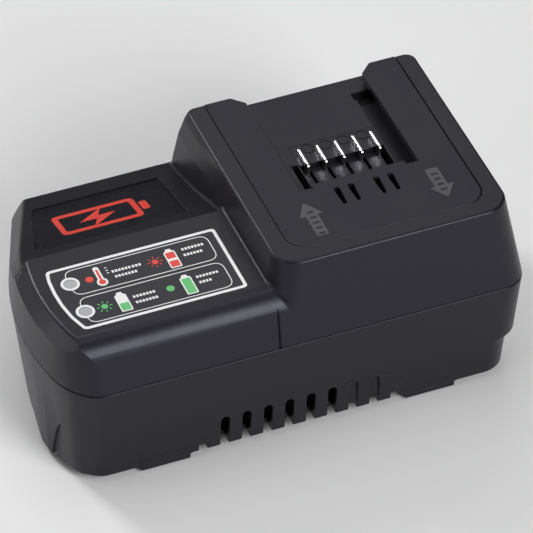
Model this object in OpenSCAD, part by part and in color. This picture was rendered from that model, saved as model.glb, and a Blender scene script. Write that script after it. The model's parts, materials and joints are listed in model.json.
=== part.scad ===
// Charging station for slide-on tool packs: two-part housing, dock with five contact
// blades, status label with two lamps, power board, cooling fan and mains inlet.
// Millimetres; X along the length, Y depth with the front at -Y, Z up, origin under the centre.

/* [Housing] */
// Length of the housing along X
case_length = 189.4; // [187:0.2:192]
// Depth of the housing at the seam
case_depth = 109.2; // [108:0.2:112]
// Height from the table to the top of the dock
case_height = 82.5; // [81:0.1:84]
// Height of the upper case half from the seam to the top of the dock
upper_height = 35.5; // [34.5:0.1:36.5]
// Drop from the top of the dock to the label deck
deck_drop = 12.8; // [12.1:0.1:13.5]
// Wall thickness of both case halves
wall = 2.4; // [2:0.1:2.6]
// Inward lean of the upper walls per millimetre of height
side_draft = 0.165; // [0.14:0.005:0.17]
// Height of the case bottom above the table
foot_height = 3; // [2.6:0.1:3.4]

/* [Deck] */
// Downward slope of the rear part of the deck per millimetre
rear_slope = 0.265; // [0.25:0.005:0.27]
// Distance from the bowed end of the housing to the status label
label_end_gap = 12.8; // [12.4:0.2:15]
// Distance from the front of the housing to the status label
label_side_gap = 14; // [13.4:0.2:15]
// Radius of each lamp window
lamp_radius = 3; // [2.6:0.1:3.2]
// Distance between the two lamp windows
lamp_pitch = 16.2; // [15:0.1:17]

/* [Dock] */
// Width of the dock plate across the two rails
dock_width = 79.4; // [78.4:0.1:79.6]
// Clear width between the two rails
rail_gap = 48.1; // [47.6:0.1:49]
// Depth of the slideway floor below the rails
recess_depth = 5.5; // [5.3:0.1:6]
// Thickness of the overhanging rail lips
lip_thickness = 3; // [2.6:0.1:3.2]
// Reach of the undercut below each rail lip
undercut = 4.4; // [4:0.1:4.8]

/* [Contacts] */
// Distance between neighbouring contact blades
blade_pitch = 7.35; // [7:0.05:7.4]
// Length of each contact blade
blade_length = 10.5; // [9.5:0.1:11]
// Thickness of each contact blade
blade_thickness = 0.8; // [0.6:0.05:0.9]

/* [Vents] */
// Distance between neighbouring vent slots
vent_pitch = 8.7; // [8.4:0.05:8.8]
// Width of each vent slot
vent_width = 3.4; // [3:0.1:4]
// Height of the vent slots above the case bottom
vent_height = 15; // [13:0.1:16]

/* [Board and fan] */
// Distance from the bowed end of the housing to the power board
board_end_gap = 25.2; // [24.2:0.1:27]
// Distance from the front and rear of the housing to the power board
board_side_gap = 20.6; // [20.1:0.1:20.8]
// Thickness of both circuit boards
board_thickness = 1.6; // [1.4:0.1:1.8]
// Height of the board standoffs above the case floor
standoff = 6.4; // [6:0.1:7]
// Outer size of the square fan frame
fan_size = 40; // [39:0.2:40]
// Thickness of the fan frame
fan_depth = 10; // [9.6:0.1:10.4]

/* [Hidden] */
$fn = 48;
eps = 0.05;
far_off = 200;
fit_gap = 0.1;

// Housing outline: a left end that bows and then runs straight to the far corner, a facet at
// its near corner, and a square right end.
bow_radius = 100;
bow_y = -15;
straight_angle = 158.2;
facet_angle = 239.2;
facet_in = 15.6;
facet_radius = 5.6;
facet_side_radius = 4;
far_left_radius = 5;
right_radius = 10;
far_right_radius = 4;
base_taper = 3.1;
end_taper = 5;
right_step = 3;
step_low = 14.5;
step_high = 17.5;
corner_steps = 5;
bow_steps = 8;
half_length = case_length / 2;
half_depth = case_depth / 2;
seam_height = case_height - upper_height;
deck_height = case_height - deck_drop;
bow_x = bow_radius - half_length;
reveal = 0.5;
reveal_height = 0.6;

// Heights of the shells.
floor_top = foot_height + 2.6;
deck_inner = deck_height - wall;
shelf_bottom = case_height - 10.3;
shelf_top = case_height - 7.9;

// Deck edge profile: drop below the deck, inset of the long sides and of the bowed end.
edge_drops = [7, 3.2, 1.1, 0];
edge_round = [0, 0.5, 2, 4.9];
end_inset = [1.2, 3.1, 4.4, 5.4];
rear_start = 3.4;
rear_step = 2.4;

// Platform that carries the dock.
dock_x = half_length - 52.6;
plat_left = dock_x - 47.2;
plat_drop = case_height - seam_height;
plat_inset = side_draft * plat_drop;
plat_right = half_length - plat_inset;
plat_depth = half_depth - plat_inset;
near_corner = right_radius;
far_corner = far_right_radius;
ramp_foot = plat_left - 9.2;
ramp_slope = 0.44;
bulge_start = 12;
bulge_drops = [30, 21.9, 10.5, 2.8, 0.3];
bulge_out = [0.8, 1.3, 1.7, 0.9, 0];

// Dock plate and slideway.
dock_near = 7.1 - plat_depth;
dock_gap = 0.3;
dock_corner = 8;
dock_left = dock_x - dock_width / 2;
dock_right = dock_x + dock_width / 2;
recess_z = case_height - recess_depth;
lip_z = case_height - lip_thickness;
plate_edge = -9.4;
plate_side_edge = -11.5;
plate_half = 18.9;
keel_z = shelf_top - 6.6;
trench_z = keel_z + 2;
trench_x = dock_x + 18.2;
trench_far = plat_depth - 8.7;
window_left = dock_x - 25.6;
window_right = dock_x + 32.8;
window_near = dock_near + 12.6;
window_far = plat_depth - 3.7;
vent_drops = [-10.9, -5.2, 5.2, 10.9];
plate_roof = 2.4;
pocket_side = 11;
pocket_near = 3;
dock_hole_roof = 2.6;
dock_tip_roof = 3.4;

// Terminal block.
block_x0 = dock_x - 16.7;
block_x1 = dock_x + 17.5;
block_near = plate_edge + 0.2;
block_far = 19;
block_z0 = shelf_top - 6.6;
ledge_y = 7.8;
ledge_drop = 2.6;
flange = 3;
flange_thickness = 2.4;
block_clear = 2.3;
blade_y = 3.5;
blade_top = case_height - 2.5;
blade_foot = block_z0 + 2;

// Status label, lamps and badge panel.
label_x1 = plat_left - 9.6;
label_x0 = label_end_gap - half_length;
label_y1 = -5.4;
label_y0 = label_side_gap - half_depth;
label_corner = 2.6;
label_lean = 2.8;
label_thickness = 0.4;
lamp_x = label_x0 + 6.2;
lamp_y = (label_y0 + label_y1) / 2 - 0.2;
pipe_bottom = deck_height - 9.1;
led_height = 5;
lamp_board_top = pipe_bottom - led_height;
lamp_board_z = lamp_board_top - board_thickness;
lamp_boss_x = lamp_x + 7;
panel_y0 = 11.8;
panel_y1 = half_depth - 11.2;
panel_x1 = plat_left - 13.8;
panel_x0_near = 14.8 - half_length;
panel_x0_far = 24.8 - half_length;
panel_recess = 1.2;
panel_thickness = 0.6;

// Fan, which blows out of the right end.
fan_x = half_length - 24.2;
bulkhead = 2.4;
fan_z = floor_top + fan_size / 2;
fan_bore = fan_size / 2 - 1;
fan_hole = fan_size * 0.4;
shaft_radius = 1.5;
run_gap = 0.05;

// Board and what stands on it.
board_x0 = board_end_gap - half_length;
board_x1 = fan_x - 4;
board_length = board_x1 - board_x0;
board_depth = 2 * (half_depth - board_side_gap);
board_z = floor_top + standoff;
board_top = board_z + board_thickness;
hole_in = 5.6;

// Case screws.
seat_z = 24;
screw_tip = seam_height + 5;
screw_in = 11.6;
case_head = [3, 2.4];
fan_head = [2.4, 1.8];
screw_sites = [[25.2 - half_length, screw_in - half_depth],
  [29.2 - half_length, half_depth - screw_in - 3],
  [half_length - 14.2, screw_in - half_depth], [half_length - 14.2, half_depth - screw_in]];
dock_sites = [[dock_left + 6.1, dock_near + 6.6], [dock_right - 3.7, dock_near + 12.6],
  [dock_left + 6.1, plat_depth - 8.7], [dock_right - 3.7, plat_depth - 17.7]];
board_sites = [for (x = [board_x0 + hole_in, board_x1 - hole_in])
  for (s = [-1, 1]) [x, s * (board_depth / 2 - hole_in)]];
foot_sites = [42.2 - half_length, half_length - 39];
rear_foot_shift = 4;
foot_length = 20.4;
vent_blind = 0.2;
vent_notch = 3.2;
foot_depth = 13;
pad_radius = 5;
pad_height = 1.6;
pad_sunk = 0.8;

// Mains inlet.
inlet_x = dock_x - 11.6;
inlet_width = 26;
inlet_height = 14;
inlet_face = half_depth - 2;
inlet_depth = 21;
socket_radius = 4;
pin_pitch = 8.6;
socket_depth = 12;

// ---------- outline and loft helpers ----------

function arc(cx, cy, r, a0, a1, n) =
  [for (i = [0:n]) let (a = a0 + (a1 - a0) * i / n) [cx + r * cos(a), cy + r * sin(a)]];

// The same arc without its last point.
function open_arc(cx, cy, r, a0, a1, n) =
  [for (i = [0:n - 1]) let (a = a0 + (a1 - a0) * i / n) [cx + r * cos(a), cy + r * sin(a)]];

// Outline of the housing, inset by ds on the long sides, dl on the bow and dr on the right.
function case_ring(ds, dl, dr) =
  let (hy = half_depth - ds, xr = half_length - dr, rb = bow_radius - dl)
  let (rf = far_left_radius, fy = hy - rf, ux = cos(straight_angle), uy = sin(straight_angle))
  let (fx = bow_x + (rb - rf - uy * (fy - bow_y)) / ux)
  let (nx = cos(facet_angle), ny = sin(facet_angle))
  let (f = nx * (facet_in - half_length) - ny * half_depth - (ds + dl) / 2)
  let (g = f - facet_radius - nx * bow_x - ny * bow_y)
  let (t = sqrt(pow(rb - facet_radius, 2) - g * g))
  let (cx = g * nx + t * ny, cy = g * ny - t * nx, turn = 360 + atan2(cy, cx))
  let (sy = facet_side_radius - hy, sx = (f - facet_side_radius - ny * sy) / nx)
  concat(
    arc(xr - right_radius, right_radius - hy, right_radius, -90, 0, corner_steps),
    arc(xr - far_right_radius, hy - far_right_radius, far_right_radius, 0, 90, corner_steps),
    arc(fx, fy, rf, 90, straight_angle, corner_steps),
    open_arc(bow_x, bow_y, rb, straight_angle, turn, bow_steps),
    arc(bow_x + cx, bow_y + cy, facet_radius, turn, facet_angle, corner_steps),
    arc(sx, sy, facet_side_radius, facet_angle, 270, 2));

// Rounded rectangle with separate radii for the front and rear corners.
function box_ring(x0, x1, y0, y1, rn, rf) = concat(
  arc(x1 - rn, y0 + rn, rn, -90, 0, corner_steps),
  arc(x1 - rf, y1 - rf, rf, 0, 90, corner_steps),
  arc(x0 + rf, y1 - rf, rf, 90, 180, corner_steps),
  arc(x0 + rn, y0 + rn, rn, 180, 270, corner_steps));

// Closed solid through rings that all have the same number of points.
module loft(rings, heights) {
  n = len(rings[0]);
  levels = len(rings);
  points = [for (k = [0:levels - 1]) for (p = rings[k]) [p[0], p[1], heights[k]]];
  walls = [for (k = [0:levels - 2]) for (i = [0:n - 1]) for (side = [0, 1])
    let (a = k * n + i, b = k * n + (i + 1) % n)
    side == 0 ? [a, b + n, b] : [a, a + n, b + n]];
  bottom = [for (i = [1:n - 2]) [0, i, i + 1]];
  top = [for (i = [1:n - 2]) [(levels - 1) * n, (levels - 1) * n + i + 1, (levels - 1) * n + i]];
  polyhedron(points, concat(walls, bottom, top));
}

// Prism along X from a profile drawn in Y and Z.
module prism_x(x0, x1, profile) {
  translate([x0, 0, 0])
    rotate([90, 0, 90])
      linear_extrude(x1 - x0)
        polygon(profile);
}

module box(x0, x1, y0, y1, z0, z1) {
  translate([x0, y0, z0])
    cube([x1 - x0, y1 - y0, z1 - z0]);
}

module rod(x, y, z0, z1, r) {
  translate([x, y, z0])
    cylinder(h = z1 - z0, r = r);
}

module rod_x(x0, x1, y, z, r) {
  translate([x0, y, z])
    rotate([0, 90, 0])
      cylinder(h = x1 - x0, r = r);
}

module rod_y(x, y0, y1, z, r) {
  translate([x, y0, z])
    rotate([-90, 0, 0])
      cylinder(h = y1 - y0, r = r);
}

module screw(x, y, seat, tip, head_r, head_h, shank_r) {
  rod(x, y, seat, tip, shank_r);
  rod(x, y, seat - head_h, seat, head_r);
}

function lower_inset(z) = base_taper * (seam_height - z) / (seam_height - foot_height);

function upper_inset(z) = side_draft * (z - seam_height);

function lower_end(z) = end_taper / base_taper * lower_inset(z);

function lower_ring(z, t, step) =
  case_ring(lower_inset(z) + t, lower_end(z) + t, lower_inset(z) + t + step);

function foot_x(x, s) = x + (x < 0 && s > 0 ? rear_foot_shift : 0);

// ---------- lower case ----------

module lower_shell() {
  difference() {
    loft([lower_ring(foot_height, 0, right_step), lower_ring(foot_height + step_low, 0, right_step),
        lower_ring(foot_height + step_high, 0, 0), lower_ring(seam_height, 0, 0)],
      [foot_height, foot_height + step_low, foot_height + step_high, seam_height]);
    loft([lower_ring(floor_top, wall, right_step),
        lower_ring(foot_height + step_low, wall, right_step),
        lower_ring(foot_height + step_high, wall, 0), lower_ring(seam_height + 1, wall, 0)],
      [floor_top, foot_height + step_low, foot_height + step_high, seam_height + 1]);
  }
}

module seam_lip() {
  lip_out = wall + fit_gap + side_draft * 2;
  lip_in = lip_out + 1.1;
  lip_low = seam_height - 5;
  lip_top = seam_height + 2;
  difference() {
    loft([case_ring(lip_out, lip_out, lip_out), case_ring(lip_out, lip_out, lip_out)],
      [lip_low, lip_top]);
    loft([case_ring(lip_in, lip_in, lip_in), case_ring(lip_in, lip_in, lip_in)],
      [lip_low - 1, lip_top + 1]);
  }
}

module lip_blend() {
  // Joins the lip to the wall below the seam.
  blend_in = wall + fit_gap + side_draft * 2 + 0.6;
  blend_out = wall / 2;
  low = seam_height - 5;
  difference() {
    loft([case_ring(blend_out, blend_out, blend_out), case_ring(blend_out, blend_out, blend_out)],
      [low, seam_height - 0.4]);
    loft([case_ring(blend_in, blend_in, blend_in), case_ring(blend_in, blend_in, blend_in)],
      [low - 1, seam_height]);
  }
}

// Open slots, two blind ones with an open foot, and a short notch at either end.
module vent_slots() {
  first = dock_x - 70.6;
  r = vent_width / 2;
  top = foot_height + vent_height;
  inner = 5 - half_depth + base_taper;
  blind = vent_blind - half_depth + base_taper;
  for (i = [-1:8]) {
    x = first + i * vent_pitch;
    is_open = i >= 0 && i <= 5;
    is_blind = i == 6 || i == 7;
    box(x - r, x + r, -far_off, inner, 0, is_open ? top - r : foot_height + vent_notch);
    if (is_open) {
      rod_y(x, -far_off, inner, top - r, r);
    }
    if (is_blind) {
      box(x - r, x + r, -far_off, blind, 0, top - r);
      rod_y(x, -far_off, blind, top - r, r);
    }
  }
}

module grille_slots() {
  pitch = 5;
  slot = 2.4;
  low = fan_z - 12;
  high = fan_z + 12;
  for (i = [-3:3]) {
    box(half_length - 12, far_off, i * pitch - slot / 2, i * pitch + slot / 2, low, high);
  }
}

module inlet_opening() {
  box(inlet_x - inlet_width / 2 - fit_gap, inlet_x + inlet_width / 2 + fit_gap,
    half_depth - 12, far_off, board_top - fit_gap, board_top + inlet_height + fit_gap);
}

module lower_case() {
  boss_r = 4.5;
  head_clear = 3.4;
  shank_clear = 1.8;
  post_r = 3.4;
  pilot_r = 1.25;
  color([0.13, 0.13, 0.15])
    difference() {
      union() {
        difference() {
          union() {
            lower_shell();
            seam_lip();
            lip_blend();
          }
          vent_slots();
          grille_slots();
          inlet_opening();
        }
        for (p = screw_sites) {
          rod(p[0], p[1], foot_height, seam_height, boss_r);
        }
        for (p = board_sites) {
          rod(p[0], p[1], floor_top - 1, board_z, post_r);
        }
        for (x = foot_sites) {
          for (s = [-1, 1]) {
            yc = s * (half_depth - base_taper - foot_depth / 2);
            box(foot_x(x, s) - foot_length / 2, foot_x(x, s) + foot_length / 2,
              yc - foot_depth / 2, yc + foot_depth / 2, pad_sunk, foot_height + 0.5);
          }
        }
        box(fan_x - bulkhead, fan_x, -fan_size / 2 - 3, fan_size / 2 + 3, floor_top - 1,
          floor_top + fan_size);
      }
      for (p = screw_sites) {
        rod(p[0], p[1], -1, seat_z, head_clear);
        rod(p[0], p[1], seat_z - 1, seam_height + 1, shank_clear);
      }
      for (p = board_sites) {
        rod(p[0], p[1], floor_top + 0.6, board_z + 1, pilot_r);
      }
      for (x = foot_sites) {
        for (s = [-1, 1]) {
          rod(foot_x(x, s), s * (half_depth - base_taper - foot_depth / 2), 0, pad_height,
            pad_radius + fit_gap);
        }
      }
      rod_x(fan_x - bulkhead - 1, fan_x + 1, 0, fan_z, fan_bore - 1);
      for (sy = [-1, 1]) {
        for (sz = [-1, 1]) {
          rod_x(fan_x - bulkhead - 1, fan_x + 1, sy * fan_hole, fan_z + sz * fan_hole, pilot_r);
        }
      }
    }
}

module rubber_feet() {
  color([0.05, 0.05, 0.05])
    for (x = foot_sites) {
      for (s = [-1, 1]) {
        rod(foot_x(x, s), s * (half_depth - base_taper - foot_depth / 2), 0, pad_height,
          pad_radius);
      }
    }
}

// ---------- upper case ----------

function deck_z(k) = deck_height - edge_drops[k];

function deck_ring(k, t) =
  let (ds = upper_inset(deck_z(k)) + edge_round[k])
  case_ring(ds + t, end_inset[k] + t, ds + t);

// Everything above the sloping rear part of the deck, lowered by t.
module rear_cut(t) {
  z0 = deck_height - rear_step - t;
  prism_x(-far_off, dock_left, [[rear_start - t, z0], [rear_start - t, far_off], [far_off, far_off],
    [far_off, z0 - rear_slope * (far_off - rear_start)]]);
}

module deck_outer() {
  difference() {
    loft([case_ring(reveal, reveal, reveal), case_ring(upper_inset(seam_height + reveal_height), 0,
          upper_inset(seam_height + reveal_height)),
        deck_ring(0, 0), deck_ring(1, 0), deck_ring(2, 0), deck_ring(3, 0)],
      [seam_height, seam_height + reveal_height, deck_z(0), deck_z(1), deck_z(2), deck_z(3)]);
    rear_cut(0);
  }
}

module deck_inner_space() {
  difference() {
    loft([case_ring(wall, wall, wall), deck_ring(0, wall), deck_ring(1, wall)],
      [seam_height - eps, deck_z(0) - wall, deck_inner]);
    rear_cut(wall);
  }
}

function plat_ring(z, t) =
  let (o = side_draft * (case_height - z))
  box_ring(plat_left - o + t, plat_right + o - t, t - plat_depth - o, plat_depth + o - t,
    near_corner, far_corner);

module platform_outer() {
  edge = 0.8;
  z1 = case_height - edge;
  loft([plat_ring(seam_height + reveal_height, 0), plat_ring(z1, 0), plat_ring(case_height, 0.5)],
    [seam_height + reveal_height, z1, case_height]);
}

module platform_inner_space() {
  loft([plat_ring(seam_height + reveal_height, wall), plat_ring(shelf_bottom, wall)],
    [seam_height - eps, shelf_bottom]);
}

// Low ramp along the rear deck at the foot of the platform.
module ramp() {
  x0 = ramp_foot;
  x1 = plat_left - 2;
  y0 = rear_start - 0.5;
  y1 = half_depth;
  high = ramp_slope * (x1 - x0);
  za = deck_height - rear_step - rear_slope * (y0 - rear_start);
  zb = deck_height - rear_step - rear_slope * (y1 - rear_start);
  near_pts = [[x0, y0, za - 6], [x0, y0, za], [x1, y0, za + high], [x1, y0, za - 6]];
  far_pts = [[x0, y1, zb - 6], [x0, y1, zb], [x1, y1, zb + high], [x1, y1, zb - 6]];
  intersection() {
    polyhedron(concat(near_pts, far_pts),
      [[0, 1, 2], [0, 2, 3], [4, 6, 5], [4, 7, 6], [0, 5, 1], [0, 4, 5], [1, 6, 2], [1, 5, 6],
        [2, 7, 3], [2, 6, 7], [3, 4, 0], [3, 7, 4]]);
    loft([case_ring(upper_inset(seam_height + 1) + 0.5, 0, 0),
        case_ring(upper_inset(case_height) + 0.5, 0, 0)], [seam_height + 1, case_height]);
  }
}

// Slight bulge of the platform's left wall beside the rear deck.
module bulge() {
  levels = len(bulge_drops);
  hull() {
    for (k = [0:levels - 1]) {
      z = case_height - bulge_drops[k];
      wall_x = plat_left - side_draft * bulge_drops[k];
      translate([wall_x - bulge_out[k], half_depth - upper_inset(z) - 4, z - 0.1])
        cube([6, 3.8, 0.1]);
      translate([wall_x + 0.05, bulge_start, z - 0.1])
        cube([6, 1, 0.1]);
    }
  }
}

module dock_outline(grow, y_far) {
  r = dock_corner;
  x0 = dock_left - grow;
  x1 = dock_right + grow;
  y0 = dock_near - grow;
  union() {
    translate([x0, y0 + r])
      square([x1 - x0, y_far - y0 - r]);
    translate([x0 + r, y0])
      square([x1 - x0 - 2 * r, r + 1]);
    translate([x0 + r, y0 + r])
      circle(r);
    translate([x1 - r, y0 + r])
      circle(r);
  }
}

module label_outline(grow) {
  x0 = label_x0 - grow;
  x1 = label_x1 + grow;
  y0 = label_y0 - grow;
  y1 = label_y1 + grow;
  r = label_corner + grow;
  hull() {
    translate([x0 + r, y1 - r])
      circle(r, $fn = 24);
    translate([x1 - r, y1 - r])
      circle(r, $fn = 24);
    translate([x1 - r, y0 + r])
      circle(r, $fn = 24);
    translate([x0 + r + label_lean, y0 + r])
      circle(r, $fn = 24);
  }
}

// Slab that follows the sloping rear part of the deck, between two depths below it.
module rear_plate(grow, d0, d1) {
  y0 = panel_y0 - grow;
  y1 = panel_y1 + grow;
  x1 = panel_x1 + grow;
  za = deck_height - rear_step - rear_slope * (y0 - rear_start);
  zb = deck_height - rear_step - rear_slope * (y1 - rear_start);
  points = [[x1, y0, za - d1], [x1, y1, zb - d1], [panel_x0_far - grow, y1, zb - d1],
    [panel_x0_near - grow, y0, za - d1], [x1, y0, za - d0], [x1, y1, zb - d0],
    [panel_x0_far - grow, y1, zb - d0], [panel_x0_near - grow, y0, za - d0]];
  polyhedron(points, [[0, 1, 2], [0, 2, 3], [4, 6, 5], [4, 7, 6], [0, 5, 1], [0, 4, 5], [1, 6, 2],
    [1, 5, 6], [2, 7, 3], [2, 6, 7], [3, 4, 0], [3, 7, 4]]);
}

module corner_groove() {
  angle = atan(side_draft);
  translate([plat_left - 1.4, -half_depth, seam_height])
    rotate([-angle, 0, 0])
      rotate([0, 0, 45])
        translate([-0.6, -0.6, -1])
          cube([1.2, 1.2, deck_height - seam_height + 1]);
}

module upper_case() {
  boss_r = 4;
  pilot_r = 1.45;
  lamp_boss_r = 3;
  color([0.13, 0.13, 0.15])
    difference() {
      union() {
        difference() {
          union() {
            deck_outer();
            platform_outer();
            ramp();
            bulge();
          }
          deck_inner_space();
          platform_inner_space();
        }
        for (p = screw_sites) {
          rear = p[1] > 0 && p[0] < 0;
          rear_top = deck_height - rear_step - rear_slope * (p[1] + boss_r - rear_start) - 0.6;
          top = p[0] > 0 ? shelf_bottom + 1 : rear ? rear_top : deck_inner + 1;
          rod(p[0], p[1], seam_height, top, boss_r);
        }
        rod(lamp_boss_x, lamp_y, lamp_board_top, deck_inner + 1, lamp_boss_r);
      }
      translate([0, 0, shelf_top])
        linear_extrude(far_off)
          dock_outline(dock_gap, far_off);
      box(window_left, window_right, window_near, window_far, shelf_bottom - 1, shelf_top + 1);
      translate([0, 0, deck_height - label_thickness])
        linear_extrude(far_off)
          label_outline(fit_gap);
      rear_plate(fit_gap, -20, panel_recess);
      corner_groove();
      for (s = [-0.5, 0.5]) {
        rod(lamp_x, lamp_y + s * lamp_pitch, deck_inner - 5, deck_height + 1,
          lamp_radius + fit_gap);
      }
      for (p = screw_sites) {
        rod(p[0], p[1], seam_height - 1, screw_tip + 0.8, pilot_r);
      }
      for (p = dock_sites) {
        rod(p[0], p[1], shelf_bottom - 1, shelf_top + 1, 1.7);
      }
      rod(lamp_boss_x, lamp_y, lamp_board_top - 1, lamp_board_top + 6, 1.1);
    }
}

module status_label() {
  color([0.09, 0.09, 0.1])
    difference() {
      translate([0, 0, deck_height - label_thickness])
        linear_extrude(label_thickness)
          label_outline(0);
      for (s = [-0.5, 0.5]) {
        rod(lamp_x, lamp_y + s * lamp_pitch, deck_height - 1, deck_height + 1,
          lamp_radius + fit_gap);
      }
    }
}

module badge_panel() {
  color([0.1, 0.1, 0.11])
    rear_plate(0, panel_recess - panel_thickness, panel_recess);
}

// ---------- lamps ----------

module light_pipes() {
  flange_r = lamp_radius + 1.2;
  color([0.75, 0.75, 0.75])
    for (s = [-0.5, 0.5]) {
      rod(lamp_x, lamp_y + s * lamp_pitch, pipe_bottom, deck_height, lamp_radius);
      rod(lamp_x, lamp_y + s * lamp_pitch, deck_inner - 2, deck_inner, flange_r);
    }
}

module indicator_leds() {
  color([0.9, 0.95, 0.9])
    for (s = [-0.5, 0.5]) {
      rod(lamp_x, lamp_y + s * lamp_pitch, lamp_board_top, pipe_bottom, 2.5);
    }
}

module indicator_board() {
  color([0.05, 0.35, 0.2])
    difference() {
      box(lamp_x - 5, lamp_boss_x + 4.4, lamp_y - lamp_pitch / 2 - 4.6,
        lamp_y + lamp_pitch / 2 + 4.6, lamp_board_z, lamp_board_top);
      rod(lamp_boss_x, lamp_y, lamp_board_z - 1, lamp_board_top + 1, 1.3);
    }
}

module indicator_screw() {
  color([0.7, 0.7, 0.72])
    screw(lamp_boss_x, lamp_y, lamp_board_z, lamp_board_top + 5, 2.2, 1.8, 1.05);
}

module indicator_ribbon() {
  color([0.6, 0.6, 0.62])
    box(lamp_boss_x + 2.6, lamp_boss_x + 3.6, lamp_y + 3, lamp_y + 9, board_top, lamp_board_z);
}

// ---------- dock ----------

module blade_places() {
  for (i = [-2:2]) {
    translate([dock_x + 0.1 + i * blade_pitch, 0, 0])
      children();
  }
}

module vent_drop(x) {
  y0 = -15.4;
  y1 = -23.3;
  r0 = 1.3;
  r1 = 0.8;
  translate([0, 0, shelf_top - 1])
    linear_extrude(far_off)
      polygon(concat(arc(x, y0, r0, 0, 180, 10), arc(x, y1, r1, 180, 360, 8)));
}

module dock_plate() {
  rail_half = rail_gap / 2;
  far_edge = plat_depth - 0.1;
  roof = case_height - plate_roof;
  color([0.2, 0.2, 0.23])
    difference() {
      union() {
        translate([0, 0, shelf_top])
          linear_extrude(case_height - shelf_top)
            dock_outline(-dock_gap, far_edge);
        box(trench_x - 2, dock_x + rail_half + undercut + 2, plate_side_edge - 2, trench_far + 2,
          keel_z, shelf_top + 1);
      }
      // Slideway between the rails and the undercut below their lips.
      box(dock_x - rail_half, dock_x + rail_half, plate_side_edge, far_off, recess_z, far_off);
      box(dock_x - plate_half, dock_x + plate_half, plate_side_edge, plate_edge, recess_z - 1,
        recess_z + 0.01);
      box(dock_x - rail_half - undercut, dock_x + rail_half + undercut, plate_side_edge, far_off,
        recess_z, lip_z);
      // Deep trench along the right rail and the small hole on the left.
      box(trench_x, dock_x + rail_half + undercut, plate_side_edge, trench_far, trench_z,
        recess_z + 1);
      box(dock_x - 19.8, dock_x - 17.2, -5.6, 8.8, shelf_top - 1, recess_z + 1);
      // Opening for the terminal block.
      box(block_x0 - fit_gap, block_x1 + fit_gap, plate_edge + 0.1, block_far + fit_gap,
        shelf_top - 1, recess_z + 1);
      // Lead-in bevels at the open end of both lips.
      for (s = [-1, 1]) {
        translate([dock_x + s * rail_half, far_edge, case_height])
          rotate([0, 0, 45])
            cube([6.4, 6.4, 4.2], center = true);
      }
      // Hollow underside.
      box(dock_left + pocket_side, dock_right - pocket_side, dock_near + pocket_near,
        plate_side_edge - wall, shelf_top - 1, roof);
      for (d = vent_drops) {
        vent_drop(dock_x + d);
      }
      for (p = dock_sites) {
        rod(p[0], p[1], shelf_top - 1, case_height - dock_hole_roof, 1.45);
      }
    }
}

module terminal_block() {
  color([0.17, 0.17, 0.19])
    difference() {
      union() {
        box(block_x0, block_x1, block_near, block_far, shelf_top, recess_z);
        box(block_x0, trench_x - block_clear, block_near, block_far, block_z0, shelf_top + 0.5);
        box(block_x0 + 2, trench_x - block_clear, block_near - flange, block_far + flange,
          shelf_top - flange_thickness, shelf_top);
      }
      box(block_x0 - 1, block_x1 + 1, block_near - 1, ledge_y, recess_z - ledge_drop,
        recess_z + 1);
      blade_places()
        box(-blade_thickness / 2 - fit_gap, blade_thickness / 2 + fit_gap, blade_y - fit_gap,
          blade_y + blade_length + fit_gap, blade_foot, recess_z + 1);
      blade_places()
        box(0.9, 2.1, block_near + 1.4, ledge_y - 1.6, recess_z - ledge_drop - 2,
          recess_z + 1);
    }
}

module terminal_blades() {
  color([0.85, 0.85, 0.86])
    blade_places()
      box(-blade_thickness / 2, blade_thickness / 2, blade_y, blade_y + blade_length,
        blade_foot, blade_top);
}

module terminal_leads() {
  color([0.72, 0.45, 0.2])
    blade_places()
      rod(0, blade_y + blade_length / 2, board_top, block_z0, 1);
}

module dock_screws() {
  color([0.7, 0.7, 0.72])
    for (p = dock_sites) {
      screw(p[0], p[1], shelf_bottom, case_height - dock_tip_roof, 2.9, 2.2, 1.35);
    }
}

// ---------- boards and components ----------

module main_board() {
  color([0.05, 0.35, 0.2])
    difference() {
      box(board_x0, board_x1, -board_depth / 2, board_depth / 2, board_z, board_top);
      for (p = board_sites) {
        rod(p[0], p[1], board_z - 1, board_top + 1, 1.6);
      }
    }
}

module board_screws() {
  color([0.7, 0.7, 0.72])
    for (p = board_sites) {
      rod(p[0], p[1], floor_top + 1.4, board_top, 1.2);
      rod(p[0], p[1], board_top, board_top + 1.9, 2.6);
    }
}

// A place on the board as a share of its length and depth.
function along(f) = board_x0 + f * board_length;

function across(f) = f * board_depth;

core_x = along(0.5);
core_size = [36, 16, 30];
leg = 9;
window = 7.5;
yoke = 6;

module transformer_core() {
  color([0.22, 0.22, 0.24])
    translate([core_x, 0, board_top])
      difference() {
        box(-core_size[0] / 2, core_size[0] / 2, -core_size[1] / 2, core_size[1] / 2, 0,
          core_size[2]);
        for (s = [-1, 1]) {
          xc = s * (leg + window) / 2;
          box(xc - window / 2, xc + window / 2, -far_off, far_off, yoke, core_size[2] - yoke);
        }
      }
}

module transformer_winding() {
  half_x = leg / 2 + window - 0.2;
  half_y = core_size[1] / 2 + window - 0.2;
  color([0.85, 0.7, 0.15])
    translate([core_x, 0, board_top])
      difference() {
        box(-half_x, half_x, -half_y, half_y, yoke, core_size[2] - yoke);
        box(-leg / 2, leg / 2, -core_size[1] / 2, core_size[1] / 2, yoke - 1,
          core_size[2] - yoke + 1);
      }
}

can_edge = 0.8;
bulk_radius = 11;
bulk_height = 36;
smooth_radius = 6.2;
smooth_height = 25;
bridge_size = [4, 20, 16];

module can(x, y, r, h) {
  rod(x, y, board_top, board_top + h - can_edge, r);
  translate([x, y, board_top + h - can_edge])
    cylinder(h = can_edge, r1 = r, r2 = r - can_edge);
}

// Block of a given size that stands on the board with its middle at x, y.
module on_board(x, y, size) {
  box(x - size[0] / 2, x + size[0] / 2, y - size[1] / 2, y + size[1] / 2, board_top,
    board_top + size[2]);
}

module bulk_capacitor() {
  color([0.1, 0.1, 0.12])
    can(along(0.19), across(0.265), bulk_radius, bulk_height);
}

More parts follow.
